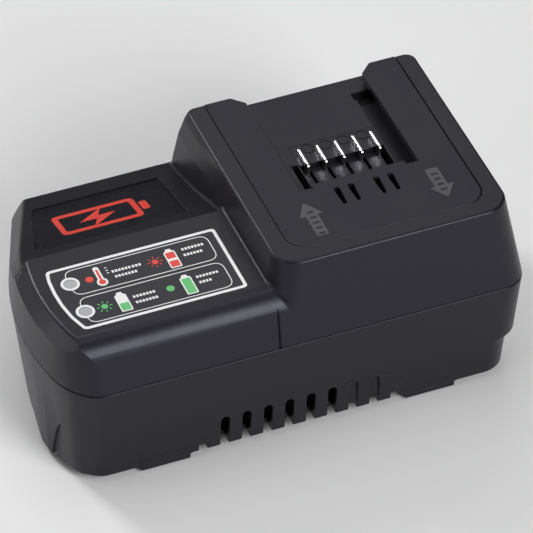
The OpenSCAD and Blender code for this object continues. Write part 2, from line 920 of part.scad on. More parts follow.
module output_capacitors() {
  color([0.1, 0.12, 0.2])
    for (f = [0.78, 0.89]) {
      can(along(f), across(0.316), smooth_radius, smooth_height);
    }
}

module bridge_rectifier() {
  color([0.08, 0.08, 0.08])
    on_board(along(0.316), across(0.3235), bridge_size);
}

choke = [along(0.176), across(-0.235)];
choke_half = 11;
choke_height = 22;
choke_leg = 4.5;
coil_radius = 5.6;

module choke_core() {
  color([0.3, 0.3, 0.28])
    translate([choke[0], choke[1], board_top])
      difference() {
        box(-choke_half, choke_half, -choke_leg / 2, choke_leg / 2, 0, choke_height);
        box(choke_leg - choke_half, choke_half - choke_leg, -far_off, far_off, choke_leg,
          choke_height - choke_leg);
      }
}

module choke_coils() {
  color([0.72, 0.4, 0.15])
    translate([choke[0], choke[1], board_top])
      for (s = [-1, 1]) {
        xc = s * (choke_half - choke_leg / 2);
        difference() {
          rod(xc, 0, choke_leg, choke_height - choke_leg, coil_radius);
          box(xc - choke_leg / 2, xc + choke_leg / 2, -choke_leg / 2, choke_leg / 2,
            choke_leg - 1, choke_height);
        }
      }
}

filter_size = [10, 8, 14];

module filter_capacitor() {
  color([0.8, 0.65, 0.1])
    on_board(along(0.0588), across(0.0147), filter_size);
}

fuse_at = [along(0.53), across(0.412)];
fuse_half = 10;
fuse_r = 2.6;
fuse_up = 5;
clip_offset = 7.5;
clip_size = [3, 6.8];

module fuse() {
  color([0.85, 0.87, 0.88])
    rod_x(fuse_at[0] - fuse_half, fuse_at[0] + fuse_half, fuse_at[1], board_top + fuse_up,
      fuse_r);
}

module fuse_clips() {
  color([0.75, 0.75, 0.76])
    for (s = [-1, 1]) {
      xc = fuse_at[0] + s * clip_offset;
      difference() {
        on_board(xc, fuse_at[1], [clip_size[0], clip_size[1], fuse_up]);
        rod_x(xc - clip_size[0], xc + clip_size[0], fuse_at[1], board_top + fuse_up, fuse_r);
      }
    }
}

sink_length = 36;
sink_thickness = 3;
sink_height = 30;
sink_fin = 1.2;
sink_reach = 4;
primary_at = [along(0.456), across(-0.4265)];
secondary_at = [along(0.79), across(-0.353)];
device_size = [10, 4.6, 17];
chip_size = [8, 6, 3];

// Finned sink whose plate starts at y, with its middle at x.
module heat_sink(x, y) {
  x0 = x - sink_length / 2;
  high = board_top + sink_height;
  box(x0, x0 + sink_length, y, y + sink_thickness, board_top, high);
  for (i = [0:6]) {
    xf = x0 + i * (sink_length - sink_fin) / 6;
    box(xf, xf + sink_fin, y - sink_reach, y + eps, board_top, high);
  }
}

module primary_heat_sink() {
  color([0.62, 0.63, 0.65])
    heat_sink(primary_at[0], primary_at[1]);
}

module secondary_heat_sink() {
  color([0.62, 0.63, 0.65])
    heat_sink(secondary_at[0], secondary_at[1]);
}

module power_device(at) {
  on_board(at[0], at[1] + sink_thickness + device_size[1] / 2, device_size);
}

module power_transistor() {
  color([0.08, 0.08, 0.09])
    power_device(primary_at);
}

module output_diode() {
  color([0.08, 0.08, 0.09])
    power_device(secondary_at);
}

module control_chips() {
  color([0.07, 0.07, 0.08])
    for (f = [0.7, 0.8, 0.9]) {
      on_board(along(f), across(-0.0735), chip_size);
    }
}

// ---------- mains inlet ----------

module mains_inlet() {
  color([0.08, 0.08, 0.09])
    difference() {
      box(inlet_x - inlet_width / 2, inlet_x + inlet_width / 2, inlet_face - inlet_depth,
        inlet_face, board_top, board_top + inlet_height);
      for (s = [-1, 1]) {
        rod_y(inlet_x + s * pin_pitch / 2, inlet_face - socket_depth, inlet_face + 1,
          board_top + inlet_height / 2, socket_radius);
      }
      box(inlet_x - pin_pitch / 2, inlet_x + pin_pitch / 2, inlet_face - socket_depth,
        inlet_face + 1, board_top + inlet_height / 2 - 2.6, board_top + inlet_height / 2 + 2.6);
    }
}

module inlet_pins() {
  color([0.8, 0.78, 0.6])
    for (s = [-1, 1]) {
      rod_y(inlet_x + s * pin_pitch / 2, inlet_face - socket_depth, inlet_face - 2.5,
        board_top + inlet_height / 2, 1.2);
    }
}

// ---------- fan ----------

stator = 2;
hub_r = 9.6;
cup = 1.2;
holder_r = 4;
bearing_r = 3;
rotor_start = fan_x + stator + 1.2;
rotor_end = fan_x + fan_depth - 0.8;
holder_end = rotor_end - cup - 1;

module fan_frame() {
  half = fan_size / 2;
  color([0.1, 0.1, 0.1])
    difference() {
      union() {
        difference() {
          box(fan_x, fan_x + fan_depth, -half, half, fan_z - half, fan_z + half);
          rod_x(fan_x - 1, fan_x + fan_depth + 1, 0, fan_z, fan_bore);
        }
        rod_x(fan_x, fan_x + stator, 0, fan_z, hub_r);
        rod_x(fan_x, holder_end, 0, fan_z, holder_r);
        for (a = [30, 150, 270]) {
          translate([fan_x, 0, fan_z])
            rotate([a, 0, 0])
              box(0, stator, hub_r - 1, fan_bore + 0.4, -1.5, 1.5);
        }
      }
      rod_x(fan_x + 0.8, fan_x + fan_depth, 0, fan_z, bearing_r);
      for (sy = [-1, 1]) {
        for (sz = [-1, 1]) {
          rod_x(fan_x - 1, fan_x + fan_depth + 1, sy * fan_hole, fan_z + sz * fan_hole, 1.6);
        }
      }
    }
}

module fan_bearing() {
  color([0.75, 0.6, 0.3])
    difference() {
      rod_x(fan_x + 0.8, holder_end, 0, fan_z, bearing_r);
      rod_x(fan_x, holder_end + 1, 0, fan_z, shaft_radius + run_gap);
    }
}

module fan_rotor() {
  blades = 7;
  tip = fan_bore - 1;
  chord = 7;
  color([0.12, 0.12, 0.12])
    union() {
      difference() {
        rod_x(rotor_start, rotor_end, 0, fan_z, hub_r);
        rod_x(rotor_start - 1, rotor_end - cup, 0, fan_z, hub_r - cup);
      }
      rod_x(fan_x + 1.4, rotor_end - cup + 0.2, 0, fan_z, shaft_radius);
      for (i = [0:blades - 1]) {
        translate([(rotor_start + rotor_end) / 2, 0, fan_z])
          rotate([i * 360 / blades, 0, 0])
            rotate([0, 48, 0])
              translate([-chord / 2, hub_r - 0.7, -0.5])
                cube([chord, tip - hub_r + 0.7, 1]);
      }
    }
}

module fan_screws() {
  color([0.7, 0.7, 0.72])
    for (sy = [-1, 1]) {
      for (sz = [-1, 1]) {
        rod_x(fan_x - 2, fan_x + fan_depth, sy * fan_hole, fan_z + sz * fan_hole, 1.2);
        rod_x(fan_x + fan_depth, fan_x + fan_depth + fan_head[1], sy * fan_hole,
          fan_z + sz * fan_hole, fan_head[0]);
      }
    }
}

module case_screws() {
  color([0.7, 0.7, 0.72])
    for (p = screw_sites) {
      screw(p[0], p[1], seat_z, screw_tip, case_head[0], case_head[1], 1.4);
    }
}

lower_case();
upper_case();
dock_plate();
terminal_block();
terminal_blades();
terminal_leads();
status_label();
badge_panel();
light_pipes();
indicator_board();
indicator_leds();
indicator_screw();
indicator_ribbon();
main_board();
board_screws();
transformer_core();
transformer_winding();
bulk_capacitor();
bridge_rectifier();
choke_core();
choke_coils();
filter_capacitor();
fuse();
fuse_clips();
primary_heat_sink();
secondary_heat_sink();
power_transistor();
output_diode();
output_capacitors();
control_chips();
mains_inlet();
inlet_pins();
fan_frame();
fan_bearing();
fan_rotor();
fan_screws();
case_screws();
dock_screws();
rubber_feet();
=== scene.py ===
"""Dresses the charging station: moulded shells, dock, label, contacts and lamps."""

import json
import logging
import math
from dataclasses import dataclass, field
from enum import Enum
from functools import cache, reduce
from typing import Callable, Sequence

import bmesh
import bpy
import numpy as np
from mathutils import Matrix, Vector

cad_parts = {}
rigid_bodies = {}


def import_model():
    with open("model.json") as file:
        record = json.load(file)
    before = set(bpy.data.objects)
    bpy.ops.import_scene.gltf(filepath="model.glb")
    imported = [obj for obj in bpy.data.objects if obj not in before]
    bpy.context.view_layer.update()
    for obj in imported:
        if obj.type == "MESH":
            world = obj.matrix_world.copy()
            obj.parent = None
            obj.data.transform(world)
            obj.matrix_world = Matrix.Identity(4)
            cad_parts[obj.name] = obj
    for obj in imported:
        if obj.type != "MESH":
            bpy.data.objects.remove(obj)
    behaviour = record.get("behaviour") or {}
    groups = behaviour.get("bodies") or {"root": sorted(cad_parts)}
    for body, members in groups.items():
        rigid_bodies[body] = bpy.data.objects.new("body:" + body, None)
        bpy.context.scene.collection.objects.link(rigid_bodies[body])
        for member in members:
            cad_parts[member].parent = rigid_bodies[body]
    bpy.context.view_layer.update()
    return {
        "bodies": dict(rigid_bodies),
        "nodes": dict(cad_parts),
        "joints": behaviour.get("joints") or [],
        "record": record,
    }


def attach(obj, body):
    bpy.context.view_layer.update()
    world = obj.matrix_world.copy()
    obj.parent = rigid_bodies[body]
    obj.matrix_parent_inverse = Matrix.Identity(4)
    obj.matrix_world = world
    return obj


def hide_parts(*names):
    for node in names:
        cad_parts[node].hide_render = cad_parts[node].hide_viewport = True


LOG = logging.getLogger("charging_station")
MM = 0.001
Array = np.ndarray
Point = tuple[Array, Array, Array]
Field = Callable[[Point], Array]
Pair = tuple[float, float]
Triple = tuple[float, float, float]
Box = tuple[Triple, Triple]
Loop = list[Pair]
Object = bpy.types.Object
Material = bpy.types.Material
Tree = bpy.types.NodeTree
Node = bpy.types.Node
Socket = bpy.types.NodeSocket


# ---------- solids as functions: negative inside, millimetres ----------

def both(a: Array, b: Array, r: float | Array = 0.0) -> Array:
    """Keeps what lies in both solids, with its outer edge rounded.

    Args:
        a: Values of the first solid.
        b: Values of the second solid.
        r: Radius of the rounding.

    Returns:
        Values of the common solid.
    """
    sharp = np.maximum(a, b)
    if isinstance(r, float) and r <= 0:
        return sharp
    return np.minimum(-r, sharp) + np.hypot(np.maximum(r + a, 0), np.maximum(r + b, 0))


def either(a: Array, b: Array, r: float | Array = 0.0) -> Array:
    """Joins two solids, with the inner edge between them filled by radius r."""
    return -both(-a, -b, r)


def cut(a: Array, b: Array, r: float | Array = 0.0) -> Array:
    """Takes solid b out of solid a, with the edge of the opening rounded by r."""
    return both(a, -b, r)


def within(*solids: Array) -> Array:
    """Keeps what lies in all solids, with sharp edges."""
    return reduce(np.maximum, solids)


def union(*solids: Array) -> Array:
    """Joins solids, with sharp edges."""
    return reduce(np.minimum, solids)


def span(v: Array, low: float, high: float) -> Array:
    """Slab between two values of one coordinate."""
    return np.maximum(low - v, v - high)


def block(p: Point, lo: Triple, hi: Triple, r: float = 0.0) -> Array:
    """Box between two corners.

    Args:
        p: X, Y and Z of the points.
        lo: Lowest corner.
        hi: Highest corner.
        r: Radius of all its edges.

    Returns:
        Values of the box.
    """
    if r <= 0:
        return within(*(span(v, a, b) for v, a, b in zip(p, lo, hi)))
    q = [np.abs(v - (a + b) / 2) - (b - a) / 2 + r for v, a, b in zip(p, lo, hi)]
    out = np.sqrt(sum(np.maximum(v, 0) ** 2 for v in q))
    return out + np.minimum(within(*q), 0) - r


def disc(u: Array, v: Array, cu: float, cv: float, r: float) -> Array:
    """Endless cylinder of radius r round the point cu, cv."""
    return np.hypot(u - cu, v - cv) - r


def posts(p: Point, spots: Sequence[Pair], r: float, low: float = -500.0,
          high: float = 500.0) -> Array:
    """Upright cylinders.

    Args:
        p: X, Y and Z of the points.
        spots: Places of the cylinders.
        r: Their radius.
        low: Height at which they start.
        high: Height at which they end.

    Returns:
        Values of all cylinders.
    """
    round_spots = union(*(disc(p[0], p[1], *spot, r) for spot in spots))
    return within(round_spots, span(p[2], low, high))


def smooth(v: Array, low: float, high: float) -> Array:
    """Rises smoothly from 0 at low to 1 at high."""
    t = np.clip((v - low) / (high - low), 0.0, 1.0)
    return t * t * (3 - 2 * t)


def trail(u: Array, v: Array, points: Sequence[Pair]) -> Array:
    """Distance to an open line.

    Args:
        u: First coordinate of the points.
        v: Second coordinate of the points.
        points: Points that the line runs through.

    Returns:
        Distance to the nearest part of the line.
    """
    away = []
    for (u0, v0), (u1, v1) in zip(points, points[1:]):
        du, dv = u1 - u0, v1 - v0
        t = np.clip(((u - u0) * du + (v - v0) * dv) / (du * du + dv * dv), 0, 1)
        away.append(np.hypot(u - u0 - t * du, v - v0 - t * dv))
    return union(*away)


def outline(x: Array, y: Array, points: Sequence[Pair]) -> Array:
    """Distance to a flat closed outline.

    Args:
        x: X of the points.
        y: Y of the points.
        points: Corners of the outline.

    Returns:
        Distance, negative inside.
    """
    closed = [*points, points[0]]
    odd = np.zeros(np.broadcast(x, y).shape, bool)
    for (ax, ay), (bx, by) in zip(closed, closed[1:]):
        if by != ay:
            odd ^= ((ay > y) != (by > y)) & (x < (bx - ax) * (y - ay) / (by - ay) + ax)
    away = trail(x, y, closed)
    return np.where(odd, -away, away)


def grid(low: float, high: float, step: float, *zones: Triple) -> Array:
    """Grid lines along one axis, closer together in the given zones.

    Args:
        low: First line.
        high: End of the range.
        step: Distance between lines.
        zones: Start, end and step of each closer zone.

    Returns:
        Places of the lines.
    """
    scale = 1.0
    lines = [low]
    while lines[-1] < high:
        here = lines[-1] + 1e-6
        steps = [fine for start, end, fine in zones if start <= here < end]
        lines.append(lines[-1] + scale * min([step, *steps]))
    return np.array(lines) + 0.0137


# ---------- meshes ----------

def put(name: str, data: bpy.types.ID) -> Object:
    """Adds an object with the given data to the scene."""
    obj = bpy.data.objects.new(name, data)
    bpy.context.scene.collection.objects.link(obj)
    return obj


@dataclass(frozen=True)
class Moulder:
    """Makes a mesh of a solid given as a function, with sharp corners kept sharp."""

    flat_angle: float = 0.3
    soft_angle: float = 14.0
    broad_angle: float = 4.0
    tiles: tuple[float, ...] = (4.0, 16.0, 400.0)

    def mesh(self, name: str, solid: Field, lines: tuple[Array, Array, Array]) -> Object:
        """Builds one object.

        Args:
            name: Name of the object.
            solid: Function of the solid.
            lines: Grid lines along X, Y and Z.

        Returns:
            The new object, in metres.
        """
        values = np.broadcast_to(solid(np.ix_(*lines)), [len(line) for line in lines])
        inside = values < 0
        near, far, near_value, far_value, quads = [], [], [], [], []
        for axis in range(3):
            lo, hi = [slice(None)] * 3, [slice(None)] * 3
            lo[axis], hi[axis] = slice(None, -1), slice(1, None)
            at = np.nonzero(inside[tuple(lo)] != inside[tuple(hi)])
            nxt = tuple(a + (k == axis) for k, a in enumerate(at))
            for cells, points, found in ((at, near, near_value), (nxt, far, far_value)):
                points.append(np.stack([line[c] for line, c in zip(lines, cells)], 1))
                found.append(values[cells].astype(float))
            quads.append(self._around(at, axis, values.shape, inside[at]))
        hit = self._meet(solid, *map(np.concatenate, (near, far, near_value, far_value)))
        verts, faces = self._fit(hit, self._slope(solid, hit), np.concatenate(quads), lines)
        return self._finish(name, solid, verts, faces)

    @staticmethod
    def _around(at: tuple, axis: int, shape: tuple, low_in: Array) -> Array:
        """Finds the four cells round each crossed grid edge.

        Args:
            at: Lower ends of the edges, as grid indices.
            axis: Axis along which the edges run.
            shape: Number of grid lines along each axis.
            low_in: Whether the lower end lies inside.

        Returns:
            Four cell numbers for each edge, in turning order.
        """
        a, b = (axis + 1) % 3, (axis + 2) % 3
        cells = []
        for da, db in ((-1, -1), (0, -1), (0, 0), (-1, 0)):
            ijk = list(at)
            ijk[a] = ijk[a] + da
            ijk[b] = ijk[b] + db
            cells.append((ijk[0] * (shape[1] - 1) + ijk[1]) * (shape[2] - 1) + ijk[2])
        quad = np.stack(cells, 1)
        quad[~low_in] = quad[~low_in][:, ::-1]
        return quad

    @staticmethod
    def _meet(solid: Field, p0: Array, p1: Array, v0: Array, v1: Array) -> Array:
        """Finds where the surface crosses the grid edges.

        Args:
            solid: Function of the solid.
            p0: Lower ends of the edges.
            p1: Upper ends of the edges.
            v0: Values at the lower ends.
            v1: Values at the upper ends.

        Returns:
            One point on each edge.
        """
        lo, hi = np.zeros(len(p0)), np.ones(len(p0))
        for turn in range(5):
            t = lo + (hi - lo) * (v0 / (v0 - v1) if turn % 2 == 0 else 0.5)
            v = np.broadcast_to(solid(tuple((p0 + t[:, None] * (p1 - p0)).T)), t.shape)
            same = (v < 0) == (v0 < 0)
            lo, v0 = np.where(same, t, lo), np.where(same, v, v0)
            hi, v1 = np.where(same, hi, t), np.where(same, v1, v)
        t = lo + (hi - lo) * v0 / (v0 - v1)
        return p0 + t[:, None] * (p1 - p0)

    @staticmethod
    def _slope(solid: Field, p: Array, step: float = 0.004) -> Array:
        """Finds the unit direction in which the solid's function grows.

        Args:
            solid: Function of the solid.
            p: Points, one in each row.
            step: Distance over which the growth is taken.

        Returns:
            One direction for each point.
        """
        out = np.empty_like(p)
        for axis in range(3):
            ahead, behind = p.copy(), p.copy()
            ahead[:, axis] += step
            behind[:, axis] -= step
            out[:, axis] = solid(tuple(ahead.T)) - solid(tuple(behind.T))
        return out / np.maximum(np.linalg.norm(out, axis=1), 1e-9)[:, None]

    @staticmethod
    def _fit(hit: Array, normal: Array, quads: Array, lines: tuple[Array, Array, Array]
             ) -> tuple[Array, Array]:
        """Places one vertex in each crossed cell where the planes through it meet.

        Args:
            hit: Points where the surface crosses the grid edges.
            normal: Direction of the surface at those points.
            quads: Four cell numbers for each of them.
            lines: Grid lines along X, Y and Z.

        Returns:
            Vertices, and the four vertex numbers of each face.
        """
        used, at = np.unique(quads.ravel(), return_inverse=True)
        count = np.bincount(at).astype(float)
        middle = np.stack([np.bincount(at, weights=np.repeat(hit[:, k], 4)) / count
                           for k in range(3)], 1)
        side = np.repeat(normal, 4, axis=0)
        push = np.einsum("ij,ij->i", np.repeat(hit, 4, axis=0) - middle[at], side)
        system = np.empty((len(used), 3, 3))
        goal = np.empty((len(used), 3))
        for k in range(3):
            goal[:, k] = np.bincount(at, weights=side[:, k] * push)
            for m in range(k, 3):
                value = np.bincount(at, weights=side[:, k] * side[:, m])
                system[:, k, m] = system[:, m, k] = value
            system[:, k, k] += 1.5e-3 * count
        verts = middle + np.linalg.solve(system, goal[:, :, None])[:, :, 0]
        cell = np.unravel_index(used, [len(line) - 1 for line in lines])
        for k, line in enumerate(lines):
            verts[:, k] = np.clip(verts[:, k], line[cell[k]], line[cell[k] + 1])
        return verts, at.reshape(-1, 4)

    def _merge(self, bm: bmesh.types.BMesh, tile: float) -> None:
        """Merges flat neighbours that lie in the same cube of space.

        Args:
            bm: Mesh to change.
            tile: Width of the cubes.
        """
        for face in bm.faces:
            x, y, z = (math.floor(v) & 1 for v in face.calc_center_median() / tile)
            face.material_index = x | y * 2 | z * 4
        bmesh.ops.dissolve_limit(bm, angle_limit=math.radians(self.flat_angle),
                                 verts=bm.verts[:], edges=bm.edges[:], delimit={"MATERIAL"})

    def _finish(self, name: str, solid: Field, verts: Array, faces: Array) -> Object:
        """Merges the flat faces and sets the shading normals.

        Args:
            name: Name of the object.
            solid: Function of the solid.
            verts: Vertices, in millimetres.
            faces: Four vertex numbers of each face.

        Returns:
            The new object, in metres.
        """
        mesh = bpy.data.meshes.new(name)
        mesh.vertices.add(len(verts))
        mesh.vertices.foreach_set("co", verts.astype(np.float32).ravel())
        mesh.loops.add(faces.size)
        mesh.loops.foreach_set("vertex_index", faces.astype(np.int32).ravel())
        mesh.polygons.add(len(faces))
        mesh.polygons.foreach_set("loop_start", np.arange(0, faces.size, 4, dtype=np.int32))
        mesh.update(calc_edges=True)
        bm = bmesh.new()
        bm.from_mesh(mesh)
        bmesh.ops.dissolve_degenerate(bm, dist=0.004, edges=bm.edges[:])
        for tile in self.tiles:
            self._merge(bm, tile)
        for face in bm.faces:
            face.smooth = True
            face.material_index = 0
        bm.to_mesh(mesh)
        bm.free()
        shading = self._shade(solid, mesh)
        mesh.transform(Matrix.Scale(MM, 4))
        mesh.normals_split_custom_set(shading)
        return put(name, mesh)

    def _shade(self, solid: Field, mesh: bpy.types.Mesh) -> Array:
        """Finds the normals of all face corners from the solid just inside each corner.

        Args:
            solid: Function of the solid.
            mesh: Its mesh, in millimetres.

        Returns:
            One unit normal for each face corner.
        """
        def read(items: object, key: str, width: int, kind: type) -> Array:
            """Reads one property of all items, a row for each."""
            out = np.empty(len(items) * width, kind)
            items.foreach_get(key, out)
            return out.reshape(-1, width) if width > 1 else out

        verts = read(mesh.vertices, "co", 3, np.float32).astype(float)
        first = read(mesh.polygons, "loop_start", 1, np.int32)
        total = read(mesh.polygons, "loop_total", 1, np.int32)
        flat = read(mesh.polygons, "normal", 3, np.float32).astype(float)
        face = np.repeat(flat, total, axis=0)
        at = np.arange(len(mesh.loops))
        nxt, last = at + 1, at - 1
        nxt[first + total - 1] = first
        last[first] = first + total - 1
        spot = verts[read(mesh.loops, "vertex_index", 1, np.int32)]
        inward = np.cross(face, spot[nxt] - spot[last])
        inward /= np.maximum(np.linalg.norm(inward, axis=1), 1e-9)[:, None]
        normal = self._slope(solid, spot + 0.01 * inward)
        rim = np.add.reduceat(np.linalg.norm(spot[nxt] - spot, axis=1), first)
        width = 2 * read(mesh.polygons, "area", 1, np.float32) / np.maximum(rim, 1e-6)
        broad = np.repeat(width > 0.5, total)
        close = np.einsum("ij,ij->i", normal, face)
        off = (close < math.cos(math.radians(self.soft_angle))) & ~broad
        normal[off] = self._slope(solid, spot[off] + 0.12 * inward[off])
        close[off] = np.einsum("ij,ij->i", normal[off], face[off])
        wild = close < np.where(broad, math.cos(math.radians(self.broad_angle)), 0.6)
        normal[wild] = face[wild]
        return normal


def settle(obj: Object) -> Object:
    """Turns an object's modifiers into plain mesh.

    Args:
        obj: Object with modifiers.

    Returns:
        The same object with its final mesh and no modifiers.
    """
    view = bpy.context.evaluated_depsgraph_get()
    view.update()
    mesh = bpy.data.meshes.new_from_object(obj.evaluated_get(view), preserve_all_data_layers=True,
                                           depsgraph=view)
    mesh.name = obj.name
    obj.modifiers.clear()
    obj.data = mesh
    return obj


def join(name: str, parts: Sequence[Object]) -> Object:
    """Puts several plain meshes into one object.

    Args:
        name: Name of the result.
        parts: Objects at the origin; they are removed.

    Returns:
        The joined object.
    """
    bm = bmesh.new()
    for part in parts:
        bm.from_mesh(part.data)
    mesh = bpy.data.meshes.new(name)
    bm.to_mesh(mesh)
    bm.free()
    for part in parts:
        bpy.data.objects.remove(part)
    return put(name, mesh)


def lathe(name: str, profile: Sequence[Pair], steps: int = 48) -> Object:
    """Turns a profile round Z.

    Args:
        name: Name of the object.
        profile: Radius and height of each point, from the axis to the axis.
        steps: Number of segments.

    Returns:
        The new object, in metres.
    """
    verts, faces, rows = [], [], []
    for r, z in profile:
        count = steps if r > 1e-6 else 1
        rows.append(list(range(len(verts), len(verts) + count)))
        verts += [(r * math.cos(2 * math.pi * k / steps) * MM,
                   r * math.sin(2 * math.pi * k / steps) * MM, z * MM) for k in range(count)]
    for low, high in zip(rows, rows[1:]):
        for k in range(steps):
            n = k + 1
            corners = (low[k % len(low)], low[n % len(low)],
                       high[n % len(high)], high[k % len(high)])
            faces.append(list(dict.fromkeys(corners)))
    mesh = bpy.data.meshes.new(name)
    mesh.from_pydata(verts, [], faces)
    bm = bmesh.new()
    bm.from_mesh(mesh)
    bmesh.ops.recalc_face_normals(bm, faces=bm.faces[:])
    for face in bm.faces:
        face.smooth = True
    for edge in bm.edges:
        edge.smooth = edge.calc_face_angle(0.0) < math.radians(35)
    bm.to_mesh(mesh)
    bm.free()
    return put(name, mesh)


# ---------- housing ----------

@dataclass(frozen=True)
class Outline:
    """Sizes that both halves of the housing and the dock share, in millimetres."""

    half_length: float = 94.2
    half_depth: float = 54.6
    seam: float = 47.0
    top: float = 82.5
    deck: float = 69.7
    foot: float = 3.0
    bow_radius: float = 100.0
    bow_x: float = 4.99
    bow_y: float = -15.0
    straight: Pair = (-0.9285, 0.3714)
    facet: tuple[float, float, float, float] = (-0.602, -0.799, 91.95, 1.6)
    near_pull: Pair = (-37.0, 0.012)
    draft: float = 0.165
    draft_scale: float = 1.0135
    taper: float = 3.1
    wall: float = 2.4
    rear_start: float = 3.4
    rear_step: float = 2.4
    rear_slope: float = 0.265
    rear_scale: float = 1.0345
    near_corner: float = 1.8
    far_corner: float = 4.5
    right_corner: float = 10.0
    far_right_corner: float = 4.0
    screws: tuple[Pair, ...] = ((-70.0, -43.0), (-66.0, 40.0), (80.0, -43.0), (80.0, 43.0))

    def bow(self, x: Array, y: Array) -> Array:
        """Measures from the bowed end at the seam, which is straight beyond a tangent.

        Args:
            x: X of the points.
            y: Y of the points.

        Returns:
            Distance, negative inside.
        """
        u, v = x - self.bow_x, y - self.bow_y
        nx, ny = self.straight
        bowed = np.where(v * nx > u * ny, np.hypot(u, v), u * nx + v * ny)
        return np.where(v < 0, np.hypot(u, v), bowed) - self.bow_radius

    def rear_top(self, y: Array) -> Array:
        """Height of the sloping rear part of the deck."""
        return self.deck - self.rear_step - self.rear_slope * (y - self.rear_start)

    def ring(self, p: Point, side: Array, end: Array, right: Array, shrink: float = 0.0,
             pull: Array | float = 1.0) -> tuple[Array, Array, Array, Array]:
        """Walls of the housing for given insets.

        Args:
            p: X, Y and Z of the points.
            side: Inset of the long sides.
            end: Inset of the bowed end.
            right: Inset of the right end.
            shrink: How much smaller all corner radii are.
            pull: Share of the extra curve of the bowed end towards its near corner.

        Returns:
            Near side, all sides but the bowed end, bowed end, and radius of its corners.
        """
        x, y, _ = p
        near = (side - self.half_depth - y) / self.draft_scale
        far = (y - self.half_depth + side) / self.draft_scale
        stop = (x - self.half_length + right) / self.draft_scale
        less = min(shrink, 2.0)
        sides = both(both(near, stop, self.right_corner - shrink), far,
                     self.far_right_corner - less)
        radius = np.where(y < 0, max(self.near_corner - shrink, 0.8), self.far_corner - less)
        nx, ny, reach, soft = self.facet
        facet = nx * x + ny * y - reach + (side + end) / 2
        start, curve = self.near_pull
        bow = self.bow(x, y) + end + pull * curve * np.maximum(start - y, 0) ** 2
        return near, sides, both(bow, facet, soft), radius

    def closed(self, p: Point, side: Array, end: Array, right: Array, shrink: float,
               pull: Array | float = 1.0) -> Array:
        """All walls of the housing as one solid.

        Args:
            p: X, Y and Z of the points.
            side: Inset of the long sides.
            end: Inset of the bowed end.
            right: Inset of the right end.
            shrink: How much smaller all corner radii are.
            pull: Share of the extra curve of the bowed end towards its near corner.

        Returns:
            Values of the solid.
        """
        _, sides, bowed, radius = self.ring(p, side, end, right, shrink, pull)
        return both(bowed, sides, radius)


